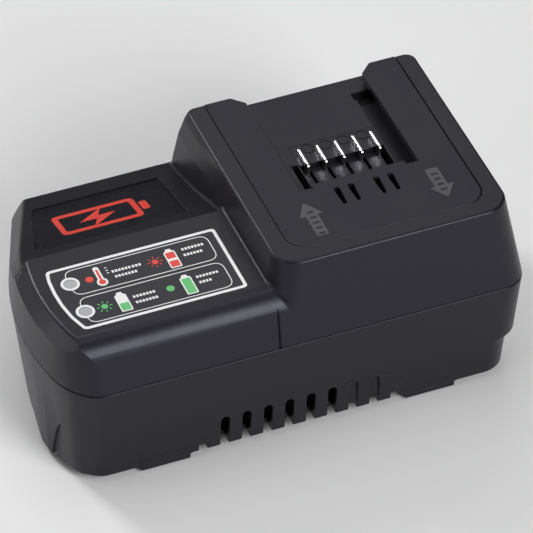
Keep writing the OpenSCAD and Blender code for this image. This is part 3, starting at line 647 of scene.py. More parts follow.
@dataclass(frozen=True)
class UpperShell:
    """Upper half of the housing: label deck, sloping rear deck and dock platform."""

    outline: Outline = Outline()
    bulge: tuple[Pair, ...] = ((0.3, 0.0), (2.8, 0.9), (10.5, 1.7), (21.9, 1.3), (30.0, 0.8))
    ramp_foot: float = -14.8
    ramp_slope: float = 0.44
    ramp_scale: float = 1.123
    platform_left: float = -5.6
    groove_x: float = -7.6
    near_fillet: float = 9.0
    front_edge: Triple = (4.65, 5.9, 7.51)
    rear_edge: Triple = (3.4, 5.2, 6.21)
    window: Box = ((16.0, -29.0, 71.5), (74.4, 45.0, 75.5))
    lamp_boss: tuple[Pair, ...] = ((-69.2, -23.2),)

    def walls(self, p: Point, shrink: float = 0.0) -> tuple[Array, Array, Array, Array]:
        """Leaning walls above the seam.

        Args:
            p: X, Y and Z of the points.
            shrink: How much smaller all corner radii are.

        Returns:
            The same walls as Outline.ring gives.
        """
        o = self.outline
        up = p[2] - o.seam
        side = np.maximum(o.draft * up, 0.5 - 0.65 * up)
        end = np.maximum(0.0795 * (up - 0.6), 0.5 - 0.8 * up)
        return o.ring(p, side, end, side, shrink)

    def left_wall(self, p: Point) -> Array:
        """Left wall of the platform, which bulges beside the rear deck.

        Args:
            p: X, Y and Z of the points.

        Returns:
            Values of the wall.
        """
        x, y, z = p
        o = self.outline
        drop = o.top - z
        out = np.interp(drop, *zip(*self.bulge)) * smooth(y, 8.0, 32.0)
        return (self.platform_left - o.draft * drop - out - x) / o.draft_scale

    def deck(self, p: Point, shrink: float = 0.0) -> Array:
        """Label deck and rear deck with the walls below them.

        Args:
            p: X, Y and Z of the points.
            shrink: How much smaller all radii are.

        Returns:
            Values of the solid.
        """
        x, y, z = p
        o = self.outline
        near, sides, end, radius = self.walls(p, shrink)
        bow = o.bow(x, y)
        rise, run, size = self.front_edge
        chamfer = (rise * (z - 63.8) + run * (bow + 1.35)) / size
        front = both(both(z - o.deck, chamfer, 0.8), y - o.rear_start, 0.5)
        top = o.rear_top(y)
        rise, run, size = self.rear_edge
        lean = (rise * (z - top + run) + run * (bow + 1.2)) / size
        rear = both((z - top) / o.rear_scale, lean, 0.9)
        ramp = (z - top - self.ramp_slope * (x - self.ramp_foot)) / self.ramp_scale
        wedge = within(ramp, self.ramp_foot - 3 - x, x - self.platform_left)
        rear = np.maximum(np.minimum(rear, wedge), -0.6 - y)
        flat = np.where(y < o.rear_start + 1, z - o.deck, (z - top) / o.rear_scale)
        fillet = both(near, np.where(y < 0, z - o.deck, -20.0),
                      max(self.near_fillet - shrink, 1.0))
        ease = both(sides, np.where(y > 0, flat, -20.0), max(0.5 - 0.2 * shrink, 0.15))
        radius = np.where(y < 0, np.interp(z, (47, 60, 65), (1, 0.7, 0.2)), 1) * radius
        return within(both(end, sides, radius), either(front, rear, 0.8), fillet, ease)

    def platform(self, p: Point, shrink: float = 0.0) -> Array:
        """Raised block that carries the dock.

        Args:
            p: X, Y and Z of the points.
            shrink: How much smaller all radii are.

        Returns:
            Values of the solid.
        """
        corner = np.where(p[1] < 0, 10.0 - shrink, 3.6 - min(shrink, 2.0))
        walls = both(self.left_wall(p), self.walls(p, shrink)[1], corner)
        return both(walls, p[2] - self.outline.top, max(0.95 - 0.4 * shrink, 0.2))

    def skin(self, p: Point) -> Array:
        """Outer surface without its recesses."""
        return np.maximum(either(self.deck(p), self.platform(p), 0.95), self.walls(p)[1])

    def cavity(self, p: Point) -> Array:
        """Hollow inside.

        Args:
            p: X, Y and Z of the points.

        Returns:
            Values of the hollow.
        """
        o = self.outline
        shelf = p[2] - (o.top - 10.3)
        under_dock = np.maximum(self.platform(p, o.wall) + o.wall, shelf)
        return np.minimum(self.deck(p, o.wall) + o.wall, under_dock)

    def recesses(self, p: Point) -> Array:
        """Everything that is cut out of the outside and the shelf.

        Args:
            p: X, Y and Z of the points.

        Returns:
            Values of all recesses.
        """
        x, y, z = p
        o = self.outline
        dock = np.maximum(Dock().plan(x, y) - 0.15, o.top - 7.9 - z)
        label = np.maximum(StatusLabel().plan(x, y) - 0.1, o.deck - 0.4 - z)
        panel = np.maximum(BadgePanel().plan(x, y) - 0.1, o.rear_top(y) - 1.2 - z)
        groove = (np.abs(x - self.groove_x) + np.abs(self.walls(p)[0])) / 1.414 - 0.5
        groove = within(groove, z - o.deck + 5, y + 40)
        return union(dock, block(p, *self.window), label, panel, groove,
                     posts(p, Lamps().spots, 3.1), posts(p, Dock().screws, 1.7, high=75.5))

    def solid(self, p: Point) -> Array:
        """The whole upper half.

        Args:
            p: X, Y and Z of the points.

        Returns:
            Values of the solid.
        """
        o = self.outline
        skin = self.skin(p)
        bosses = union(posts(p, self.lamp_boss, 3.0, low=55.6), posts(p, o.screws, 4.0, o.seam))
        body = union(cut(both(skin, o.seam - p[2]), self.cavity(p)),
                     np.maximum(bosses, skin + 0.6))
        body = cut(body, self.recesses(p), 0.12)
        pilots = union(posts(p, self.lamp_boss, 1.1, high=61.6),
                       posts(p, o.screws, 1.45, high=52.8))
        return np.maximum(body, -pilots)

    def build(self) -> Object:
        """Makes the upper half."""
        xs = grid(-96.2, 95.2, 1.1, (-94.5, -78, 0.45), (-17, -12, 0.5), (-10.5, -3.6, 0.3),
                  (0.8, 2.4, 0.25), (80.4, 82.4, 0.25), (86, 95, 0.5))
        ys = grid(-55.6, 55.6, 1.1, (-55.6, -40.6, 0.4), (-6.5, 7.5, 0.35), (46, 55.6, 0.45))
        zs = grid(46.4, 83.2, 1.0, (46.6, 48.2, 0.2), (60.5, 70.2, 0.35), (81.2, 83, 0.22))
        return Moulder().mesh("upper_housing", self.solid, (xs, ys, zs))


@dataclass(frozen=True)
class LowerShell:
    """Lower half of the housing: tub, vents, grille, feet and screw bosses."""

    outline: Outline = Outline()
    lean: tuple[Pair, ...] = ((-48.0, 4.0), (-37.0, 3.4), (-30.0, 1.9), (-24.0, 2.2),
                              (-18.0, 3.4), (-9.0, 4.8), (0.0, 5.0))
    step: float = 3.0
    step_low: float = 17.5
    floor: float = 5.6
    vents: tuple[float, float, int, int] = (-29.0, 8.7, 6, 8)
    vent_width: float = 3.4
    vent_height: float = 13.3
    notch_height: float = 3.2
    blind_arc: Triple = (28.0, 0.5, 19.6)
    blind_lines: Pair = (25.0, 33.7)
    channel: tuple[Pair, ...] = ((-39.0, 22.2), (-37.2, 18.6), (-35.6, 13.5), (-34.3, 9.0),
                                 (-32.6, 1.0))
    foot_line: tuple[Pair, ...] = ((-66.4, 16.8), (-65.0, 13.4), (-63.6, 8.5), (-62.9, 1.6))
    inlet: Box = ((16.9, 42.6, 13.5), (43.1, 60.0, 27.7))
    feet: tuple[Pair, ...] = ((-53.0, -45.0), (-49.0, 45.0), (55.2, -45.0), (55.2, 45.0))
    standoffs: tuple[Pair, ...] = ((-64.4, -28.4), (-64.4, 28.4), (60.4, -28.4), (60.4, 28.4))
    fan_z: float = 25.6
    fan_bolts: tuple[Pair, ...] = ((-16, -16), (-16, 16), (16, -16), (16, 16))

    def tub(self, p: Point, inset: float) -> Array:
        """Walls of the tub.

        Args:
            p: X, Y and Z of the points.
            inset: How far the walls move inwards.

        Returns:
            Values of the solid.
        """
        _, y, z = p
        o = self.outline
        down = (o.seam - z) / (o.seam - o.foot)
        side = o.taper * down + inset
        right = side + self.step * (1 - np.clip((z - self.step_low) / 3.0, 0, 1))
        lean = np.interp(y, *zip(*self.lean)) * down + inset
        return o.closed(p, side, lean, right, inset, np.clip(1 - down, 0, 1))

    def skin(self, p: Point) -> Array:
        """Outside with the moulded feet.

        Args:
            p: X, Y and Z of the points.

        Returns:
            Values of the solid.
        """
        o = self.outline
        tub = both(both(self.tub(p, 0.0), o.foot - p[2], 0.9), p[2] - o.seam, 0.35)
        for x, y in self.feet:
            foot = block(p, (x - 10.2, y - 6.5, 0.8), (x + 10.2, y + 6.5, 7.0), 0.5)
            tub = either(tub, foot, 0.6)
        return tub

    def vent_cuts(self, p: Point) -> Array:
        """Slots in the front: open ones, blind ones and short notches.

        Args:
            p: X, Y and Z of the points.

        Returns:
            Values of all slots.
        """
        x, y, z = p
        o = self.outline
        first, pitch, opened, count = self.vents
        half = self.vent_width / 2
        above = z - o.foot - self.vent_height
        blind = y + o.half_depth - o.taper - 0.25
        slots = []
        for i in range(-1, count + 1):
            u = x - first - i * pitch
            slots.append(np.maximum(np.abs(u) - half, z - o.foot - self.notch_height))
            if 0 <= i < count:
                slot = np.minimum(np.maximum(np.abs(u) - half, above), np.hypot(u, above) - half)
                slots.append(slot if i < opened else np.maximum(slot, blind))
        return np.maximum(union(*slots), y + 46.5)

    def lines(self, p: Point) -> Array:
        """Fine lines round and between the blind slots.

        Args:
            p: X, Y and Z of the points.

        Returns:
            Values of the lines.
        """
        x, y, z = p
        cx, cz, radius = self.blind_arc
        arc = np.abs(np.hypot(x - cx, z - cz) - radius) - 0.16
        slits = union(*(np.abs(x - at) for at in self.blind_lines)) - 0.3
        return np.minimum(within(arc, 17.5 - x, y + 40), within(slits, span(z, 6, 17), y + 40))

    def flutes(self, p: Point, skin: Array) -> Array:
        """Channel on the bowed end and the soft line where the near foot starts.

        Args:
            p: X, Y and Z of the points.
            skin: Values of the outside.

        Returns:
            Values of both cuts.
        """
        x, y, z = p
        channel = np.maximum(trail(y, z, self.channel) - 1.3, x + 80)
        line = np.maximum(trail(x, z, self.foot_line) - 1.0, y + 45)
        return np.minimum(both(channel, -skin - 1.1, 0.25), both(line, -skin - 0.3, 0.3))

    def openings(self, p: Point) -> Array:
        """Grille of the fan and opening of the mains inlet.

        Args:
            p: X, Y and Z of the points.

        Returns:
            Values of all openings.
        """
        slats = [block(p, (82.2, 5 * i - 1.2, self.fan_z - 12),
                       (99.0, 5 * i + 1.2, self.fan_z + 12), 1.0) for i in range(-3, 4)]
        return union(block(p, *self.inlet, 0.4), *slats)

    def inside(self, p: Point) -> Array:
        """Bosses, standoffs and the bulkhead of the fan.

        Args:
            p: X, Y and Z of the points.

        Returns:
            Values of all of them.
        """
        o = self.outline
        wall = block(p, (67.6, -23, 4), (70, 23, self.floor + 40), 0.3)
        return union(cut(wall, disc(p[1], p[2], 0, self.fan_z, 18.0)),
                     posts(p, o.screws, 4.5, o.foot, o.seam),
                     posts(p, self.standoffs, 3.4, 4.6, 12.0))

    def lip(self, p: Point) -> Array:
        """Lip that centres the upper half.

        Args:
            p: X, Y and Z of the points.

        Returns:
            Values of the lip.
        """
        ring = self.outline.closed(p, 2.83, 2.83, 2.83, 2.4)
        return np.minimum(within(ring, -ring - 1.1, span(p[2], 42, 49)),
                          within(ring - 1.6, -ring - 0.6, span(p[2], 42, 46.6)))

    def holes(self, p: Point) -> Array:
        """Bores of the screws and seats of the rubber pads.

        Args:
            p: X, Y and Z of the points.

        Returns:
            Values of all bores.
        """
        screws = self.outline.screws
        bolts = union(*(disc(p[1], p[2], y, self.fan_z + z, 1.25) for y, z in self.fan_bolts))
        return union(posts(p, screws, 3.4, high=24.0), posts(p, screws, 1.8),
                     posts(p, self.standoffs, 1.25, low=6.2), posts(p, self.feet, 5.1, high=1.6),
                     np.maximum(bolts, np.abs(p[0] - 68.8) - 2))

    def solid(self, p: Point) -> Array:
        """The whole lower half.

        Args:
            p: X, Y and Z of the points.

        Returns:
            Values of the solid.
        """
        skin = self.skin(p)
        hollow = np.maximum(self.tub(p, self.outline.wall), self.floor - p[2])
        shell = np.minimum(cut(skin, hollow), self.lip(p))
        shell = cut(shell, self.vent_cuts(p), 0.45)
        shell = cut(shell, self.openings(p), 0.3)
        shell = cut(shell, np.maximum(self.lines(p), -skin - 0.22))
        shell = cut(shell, self.flutes(p, skin), 0.3)
        shell = np.minimum(shell, np.maximum(self.inside(p), skin + 0.3))
        return cut(shell, self.holes(p))

    def build(self) -> Object:
        """Makes the lower half."""
        xs = grid(-96.2, 95.2, 1.1, (-95.5, -80, 0.5), (-40, 44, 0.4), (67, 71, 0.5),
                  (83, 95, 0.6))
        ys = grid(-55.6, 55.6, 1.1, (-55.6, -50.5, 0.35), (-50.5, -45, 0.5), (-17, 17, 0.6),
                  (50, 55.6, 0.5))
        zs = grid(0.3, 49.6, 1.1, (0.3, 8.2, 0.4), (13, 21.5, 0.5), (45.8, 47.5, 0.25),
                  (47.5, 49.5, 0.5))
        return Moulder().mesh("lower_housing", self.solid, (xs, ys, zs))


# ---------- dock ----------

@dataclass(frozen=True)
class Dock:
    """Insert that takes the pack: two lipped rails, slideway, trench and vents."""

    middle: float = 41.6
    half_width: float = 39.7
    near: float = -41.64
    corner: float = 8.0
    top: float = 82.5
    floor: float = 77.0
    bottom: float = 74.6
    lip: float = 79.5
    rail: float = 24.05
    undercut: float = 4.4
    far: float = 48.64
    plate_edge: float = -9.4
    plate_side_edge: float = -11.5
    trench: Triple = (59.8, 40.0, 73.2)
    vent: Triple = (-23.3, 7.9, 0.75)
    drops: tuple[float, ...] = (-10.9, -5.2, 5.2, 10.9)
    keel: Box = ((57.8, -13.5, 68.0), (72.05, 42.0, 75.6))
    slot: Box = ((21.8, -5.6, 70.0), (24.4, 8.8, 80.0))
    nest: Box = ((24.8, -9.3, 70.0), (59.2, 19.1, 80.0))
    pocket: Box = ((12.9, -38.6, 70.0), (70.3, -13.9, 80.1))
    screws: tuple[Pair, ...] = ((8.0, -35.0), (77.6, -29.0), (8.0, 40.0), (77.6, 31.0))

    def plan(self, x: Array, y: Array) -> Array:
        """Outline of the insert, open towards the rear."""
        return both(self.near - y, np.abs(x - self.middle) - self.half_width, self.corner)

    def slideway(self, p: Point) -> Array:
        """Space between the rails, under their lips and in the trench.

        Args:
            p: X, Y and Z of the points.

        Returns:
            Values of the space.
        """
        x, y, z = p
        u = np.abs(x - self.middle)
        reach = self.rail + self.undercut
        edge = self.plate_side_edge + (self.plate_edge - self.plate_side_edge) * (u < 18.9)
        left, end, low = self.trench
        bevel = (np.abs(u - self.rail) + np.abs(y - self.far)) / 1.414 - 3.2
        return union(within(u - self.rail, edge - y, self.floor - z),
                     within(u - reach, edge - y, span(z, self.floor, self.lip)),
                     block(p, (left, self.plate_side_edge, low), (self.middle + reach, end, 78.0)),
                     block(p, (59.0, end - 4.2, low), (60.4, end, 78.0)),
                     np.maximum(bevel, self.lip - 1 - z))

    def vents(self, x: Array, y: Array) -> Array:
        """Drop-shaped slots in the near plate.

        Args:
            x: X of the points.
            y: Y of the points.

        Returns:
            Values of the slots.
        """
        low, length, radius = self.vent
        t = np.clip((y - low) / length, 0, 1)
        return union(*(np.hypot(x - self.middle - drop, y - low - length * t) - radius - 0.5 * t
                       for drop in self.drops))

    def solid(self, p: Point) -> Array:
        """The whole insert.

        Args:
            p: X, Y and Z of the points.

        Returns:
            Values of the solid.
        """
        x, y, z = p
        plate = both(self.plan(x, y) + 0.15, z - self.top + 0.12, 0.4)
        plate = within(plate, self.bottom - z, y - self.far)
        body = cut(np.minimum(plate, block(p, *self.keel, 0.3)), self.slideway(p), 0.35)
        body = cut(body, np.minimum(block(p, *self.slot, 0.3), block(p, *self.pocket, 0.5)), 0.2)
        body = cut(body, block(p, *self.nest))
        body = cut(body, self.vents(x, y), 0.25)
        return cut(body, posts(p, self.screws, 1.45, high=79.9))

    def build(self) -> Object:
        """Makes the insert."""
        xs = grid(1.6, 81.8, 1.0, (1.6, 11, 0.4), (12, 25.5, 0.4), (28, 38.5, 0.35),
                  (44.5, 54.5, 0.35), (56.5, 71.5, 0.4), (72, 81.8, 0.4))
        ys = grid(-42, 49.2, 1.0, (-42, -33, 0.4), (-25, -8.4, 0.35), (39, 49.2, 0.4))
        zs = grid(67.4, 82.9, 0.6, (74.2, 80, 0.4), (81.5, 82.8, 0.2))
        return Moulder().mesh("dock_insert", self.solid, (xs, ys, zs))


@dataclass(frozen=True)
class TerminalBlock:
    """Block with five slotted seats, round marks and a lower ledge in front."""

    middle: float = 41.7
    pitch: float = 7.35
    places: tuple[int, ...] = (-2, -1, 0, 1, 2)
    parts: tuple[Box, ...] = (((24.9, -9.2, 74.6), (59.1, 19.0, 77.0)),
                              ((24.9, -9.2, 68.0), (57.5, 19.0, 75.1)),
                              ((26.9, -12.2, 72.2), (57.5, 22.0, 74.6)))
    ledge: Box = ((20.0, -9.4, 74.4), (62.0, 7.8, 80.0))
    marks: tuple[Pair, ...] = ((31.7, 15.9), (38.6, 15.7), (46.1, 15.8), (53.9, 15.9))

    def solid(self, p: Point) -> Array:
        """The whole block.

        Args:
            p: X, Y and Z of the points.

        Returns:
            Values of the solid.
        """
        x, y, z = p
        body = union(*(block(p, *part, 0.2) for part in self.parts))
        body = cut(body, block(p, *self.ledge), 0.25)
        for i in self.places:
            u = x - self.middle - i * self.pitch
            seat = within(np.abs(u) - 0.55, span(y, 3.35, 14.15), 70.0 - z)
            slit = within(np.abs(u - 1.6) - 0.7, span(y, -7.8, 6.2), 72.4 - z)
            body = cut(cut(body, seat, 0.1), slit, 0.15)
        for mx, my in self.marks:
            mark = np.abs(np.hypot(x - mx, y - my) - 2.35) - 0.22
            body = cut(body, np.maximum(mark, 76.75 - z), 0.05)
        return body

    def build(self) -> Object:
        """Makes the block."""
        zs = grid(67.6, 77.4, 0.6, (73.8, 77.3, 0.2))
        return Moulder().mesh("contact_block", self.solid,
                              (grid(24.5, 59.5, 0.27), grid(-12.6, 22.4, 0.35), zs))


# ---------- prints and inlays ----------

def inset(points: Sequence[Pair], by: float) -> Loop:
    """Moves the sides of a convex outline inwards.

    Args:
        points: Corners in turning order, either way round.
        by: Distance inwards.

    Returns:
        Corners of the smaller outline.
    """
    pts = np.array(points)
    area = np.sum(pts[:, 0] * np.roll(pts[:, 1], -1) - np.roll(pts[:, 0], -1) * pts[:, 1])
    ahead = np.roll(pts, -1, axis=0) - pts
    side = np.stack([-ahead[:, 1], ahead[:, 0]], 1) * np.sign(area)
    side /= np.linalg.norm(ahead, axis=1)[:, None]
    middle = side + np.roll(side, 1, axis=0)
    moved = pts + middle * by * 2 / np.sum(middle ** 2, axis=1)[:, None]
    return [tuple(p) for p in moved]


def rounded(points: Sequence[Pair], radius: float, steps: int = 6) -> Loop:
    """Rounds the corners of an outline.

    Args:
        points: Corners of the outline.
        radius: How far the rounding reaches along each side.
        steps: Points per corner.

    Returns:
        Points of the rounded outline.
    """
    pts = [np.array(p, float) for p in points]
    fullness = 1.0 + 0.5858 * 0.2
    out = []
    for i, corner in enumerate(pts):
        ends = []
        for other in (pts[i - 1], pts[(i + 1) % len(pts)]):
            length = np.linalg.norm(other - corner)
            ends.append(corner + (other - corner) / length * min(radius, length / 2.01))
        for t in np.arange(steps + 1) / steps:
            w = 1 - t
            mid = 2 * w * t * fullness
            sum_of_shares = w * w + mid + t * t
            out.append(tuple((w * w * ends[0] + mid * corner + t * t * ends[1]) / sum_of_shares))
    return out


def ring(cx: float, cy: float, r: float, steps: int = 40) -> Loop:
    """Circle as an outline."""
    return [(cx + r * math.cos(2 * math.pi * k / steps), cy + r * math.sin(2 * math.pi * k / steps))
            for k in range(steps)]


def bar(x0: float, y0: float, x1: float, y1: float) -> Loop:
    """Rectangle as an outline."""
    return [(x0, y0), (x1, y0), (x1, y1), (x0, y1)]


@dataclass(frozen=True)
class Sheet:
    """Thin flat shapes that are raised to a height, with an optional slope."""

    bottom: float
    top: float
    lift: Callable[[Array], Array] | None = None

    def build(self, name: str, loops: Sequence[Loop]) -> Object:
        """Makes one object of filled outlines; an outline inside another is a hole.

        Args:
            name: Name of the object.
            loops: Outlines in millimetres.

        Returns:
            The new object, in metres.
        """
        curve = bpy.data.curves.new(name, "CURVE")
        curve.dimensions = "2D"
        curve.fill_mode = "BOTH"
        curve.extrude = (self.top - self.bottom) / 2
        for loop in loops:
            spline = curve.splines.new("POLY")
            spline.points.add(len(loop) - 1)
            for point, (x, y) in zip(spline.points, loop):
                point.co = (x, y, 0, 1)
            spline.use_cyclic_u = True
        flat = put(name, curve)
        view = bpy.context.evaluated_depsgraph_get()
        view.update()
        mesh = bpy.data.meshes.new_from_object(flat.evaluated_get(view), depsgraph=view)
        bpy.data.objects.remove(flat)
        bm = bmesh.new()
        bm.from_mesh(mesh)
        bmesh.ops.remove_doubles(bm, verts=bm.verts[:], dist=1e-4)
        bmesh.ops.recalc_face_normals(bm, faces=bm.faces[:])
        for v in bm.verts:
            z = v.co.z + (self.top + self.bottom) / 2
            z += float(self.lift(v.co.y)) if self.lift else 0.0
            v.co = Vector((v.co.x, v.co.y, z)) * MM
        bm.to_mesh(mesh)
        bm.free()
        mesh.name = name
        return put(name, mesh)


class Ink(Enum):
    """Colours of the printed label."""

    WHITE = "white_ink"
    RED = "red_ink"
    GREEN = "green_ink"


@dataclass(frozen=True)
class StatusLabel:
    """Printed film with a frame, two rows of status signs and bars in place of words."""

    edge: tuple[Pair, ...] = ((-15.2, -5.5), (-82.7, -5.5), (-83.8, -11.0), (-84.1, -18.0),
                              (-83.8, -25.0), (-82.6, -32.5), (-79.9, -40.7), (-15.1, -40.7))
    top: float = 69.7
    rows: tuple[Pair, ...] = ((-22.0, -8.0), (-38.2, -24.0))
    row_ends: Pair = (-76.6, -19.6)
    words: tuple[Triple, ...] = (
        (-59.4, -13.6, 7.2), (-51.4, -13.6, 4.4), (-59.2, -16.6, 9.6), (-30.9, -11.6, 9.4),
        (-31.2, -14.9, 7.6), (-57.0, -29.6, 9.6), (-57.0, -32.8, 9.4), (-31.3, -28.0, 9.0),
        (-31.2, -31.2, 5.2))
    dash: Triple = (1.3, 0.9, 1.25)
    cell: Pair = (2.25, 1.05)
    cells: tuple[tuple[float, float, float, Ink, float], ...] = (
        (-35.8, -20.9, -10.2, Ink.RED, 1.0), (-61.3, -36.7, -26.0, Ink.GREEN, 0.5),
        (-35.4, -36.8, -25.9, Ink.GREEN, 1.0))
    thermometer: Pair = (-64.6, -18.4)
    dots: tuple[Pair, ...] = ((-68.7, -15.4), (-42.4, -31.1))
    bursts: tuple[Pair, ...] = ((-42.5, -15.2), (-68.6, -31.4))

    def plan(self, x: Array, y: Array) -> Array:
        """Outline of the film."""
        return outline(x, y, inset(self.edge, 2.2)) - 2.2

    def battery(self, cx: float, y0: float, y1: float) -> tuple[Loop, Loop]:
        """Battery sign that stands upright.

        Args:
            cx: Middle of the sign.
            y0: Its lower end.
            y1: Its upper end.

        Returns:
            Its outline and its inner field.
        """
        h, n = self.cell
        right = [(h, y0), (h, y1 - 1.7), (n, y1 - 0.9), (n, y1)]
        body = [(cx - h, y0)] + [(cx + x, y) for x, y in right]
        body += [(cx - x, y) for x, y in right[:0:-1]]
        return body, bar(cx - h + 0.5, y0 + 0.5, cx + h - 0.5, y1 - 2.0)

    @staticmethod
    def burst(cx: float, cy: float) -> list[Loop]:
        """Lamp sign: a dot with rays.

        Args:
            cx: X of its middle.
            cy: Y of its middle.

        Returns:
            Outlines of the dot and the rays.
        """
        out = [ring(cx, cy, 1.25, 20)]
        for k in range(8):
            c, s = math.cos(math.pi * k / 4), math.sin(math.pi * k / 4)
            out.append([(cx + c * r - s * w, cy + s * r + c * w)
                        for r, w in bar(1.9, -0.17, 3.0, 0.17)])
        return out

    @staticmethod
    def row(pill: Loop, lamp: Pair) -> Loop:
        """Thin line round a row of signs, open where the lamp's ring covers it.

        Args:
            pill: Corners of the row.
            lamp: Middle of the lamp.

        Returns:
            Outline of the line.
        """
        path = [p for p in rounded(pill, 4.2, 24) if math.dist(p, lamp) > 3.3]
        jump = max(range(len(path)), key=lambda k: math.dist(path[k - 1], path[k])
                   if math.dist(path[k - 1], lamp) + math.dist(path[k], lamp) < 8 else 0)
        line = np.array(path[jump:] + path[:jump])
        along = np.gradient(line, axis=0)
        aside = np.stack([-along[:, 1], along[:, 0]], 1)
        aside *= 0.17 / np.linalg.norm(aside, axis=1)[:, None]
        return [tuple(p) for p in np.concatenate([line + aside, (line - aside)[::-1]])]

    def signs(self) -> dict[Ink, list[list[Loop]]]:
        """All printed shapes.

        Returns:
            Groups of outlines for each ink, one group for each layer.
        """
        groups = {ink: [] for ink in Ink}
        white, red, green = groups.values()
        white.append([rounded(inset(self.edge, 0.05), 1.8), rounded(inset(self.edge, 1.3), 1.1)])
        left, right = self.row_ends
        for (y0, y1), lamp in zip(self.rows, Lamps().spots[::-1]):
            white.append([self.row(bar(left, y0, right, y1), lamp)])
            white.append([ring(*lamp, 3.6), ring(*lamp, 2.55)])
        pitch, long, high = self.dash
        white.append([bar(x + pitch * k, y - 0.1 - high, x + pitch * k + long, y - 0.1)
                      for x, y, width in self.words for k in range(round(width / pitch))])
        white.append([bar(-61.4, -11.6 - 1.5 * k, -60.5, -11.2 - 1.5 * k) for k in range(3)])
        red.append([ring(*self.dots[0], 1.55, 24)])
        x, y = self.thermometer
        for inks, bulb, stem, reach, bend in ((white, 2.15, 1.15, (0.4, 8.7), 1.1),
                                              (red, 1.35, 0.45, (0.0, 7.2), 0.4)):
            inks.append([ring(x, y, bulb, 24 if inks is white else 20)])
            inks.append([rounded(bar(x - stem, y + reach[0], x + stem, y + reach[1]), bend)])
        red.append(self.burst(*self.bursts[0]))
        green.append(self.burst(*self.bursts[1]))
        green.append([ring(*self.dots[1], 1.55, 24)])
        for cx, y0, y1, ink, share in self.cells:
            body, ((x0, low), _, (x1, high), _) = self.battery(cx, y0, y1)
            white.append([rounded(body, 0.5, 3)])
            high = low + (high - low) * share
            gap = 0.7 if ink is Ink.RED else 0.0
            middle = (low + high) / 2 if gap else high
            groups[ink].append([bar(x0, low, x1, middle - gap)])
            if gap:
                groups[ink].append([bar(x0, middle + gap, x1, high)])
        return groups

    def build(self) -> tuple[Object, dict[Ink, Object]]:
        """Makes the film and its prints.

        Returns:
            The film, and one object for each ink.
        """
        holes = [ring(*spot, 3.1) for spot in Lamps().spots]
        film = Sheet(self.top - 0.4, self.top - 0.02).build(
            "label_film", [rounded(self.edge, 2.6)] + holes)
        prints = {}
        for ink, groups in self.signs().items():
            base = self.top if ink is Ink.WHITE else self.top + 0.03
            layers = [Sheet(self.top - 0.06, base + 0.025 + 0.001 * k).build("layer", group)
                      for k, group in enumerate(groups)]
            prints[ink] = join(f"label_{ink.value}", layers)
        return film, prints


@dataclass(frozen=True)
class BadgePanel:
    """Inlay of the sloping rear deck with a plain charging sign."""

    corners: tuple[Pair, ...] = ((-19.4, 11.8), (-80.4, 11.8), (-70.4, 43.4), (-19.4, 43.4))
    case: tuple[float, float, float, float] = (-66.5, 18.6, -33.5, 34.4)
    bolt: tuple[Pair, ...] = ((-46.8, 32.9), (-57.6, 25.4), (-50.6, 25.4), (-53.4, 20.1),
                              (-42.4, 27.6), (-49.4, 27.6))

    def plan(self, x: Array, y: Array) -> Array:
        """Outline of the inlay."""
        return outline(x, y, inset(self.corners, 1.0)) - 1.0

    def build(self) -> tuple[Object, Object]:
        """Makes the inlay and its sign.

        Returns:
            Inlay and sign.
        """
        slope = Outline().rear_top
        panel = Sheet(-1.2, -0.6, slope).build("badge_inlay", [rounded(self.corners, 1.2)])
        case = bar(*self.case)
        shape = [rounded(case, 2.6), rounded(inset(case, 2.2), 1.2),
                 rounded(bar(-32.6, 23.2, -29.6, 29.8), 0.9)]
        sign = Sheet(-0.62, -0.54, slope)
        return panel, join("badge_sign", [sign.build("case", shape),
                                          sign.build("bolt", [list(self.bolt)])])


@dataclass(frozen=True)
class DirectionArrows:
    """Raised arrows on the insert: pack on towards the rear, pack off towards the front."""

    top: float = 82.5
    left: tuple[Pair, ...] = ((15.7, -18.1), (11.6, -25.7), (13.9, -25.7), (13.9, -37.4),
                              (18.6, -37.4), (18.6, -25.7), (20.8, -25.7))
    right: tuple[Pair, ...] = ((67.9, -34.9), (63.3, -28.0), (65.4, -28.0), (65.4, -17.6),
                               (70.5, -17.6), (70.5, -28.0), (73.0, -28.0))
    pitch: float = 3.1

    def build(self) -> tuple[Object, Object]:
        """Makes the arrows and the strokes on them."""
        arrows = Sheet(self.top - 0.3, self.top - 0.02).build(
            "direction_arrows", [rounded(points, 0.35, 3) for points in (self.left, self.right)])
        strokes = [bar(x0, y - 1.2 - self.pitch * k, x1, y - self.pitch * k)
                   for x0, x1, y, count in ((15.0, 17.6, -23.4, 5), (66.6, 69.4, -20.4, 4))
                   for k in range(count)]
        return arrows, Sheet(self.top - 0.1, self.top - 0.005).build("arrow_strokes", strokes)


# ---------- node trees ----------

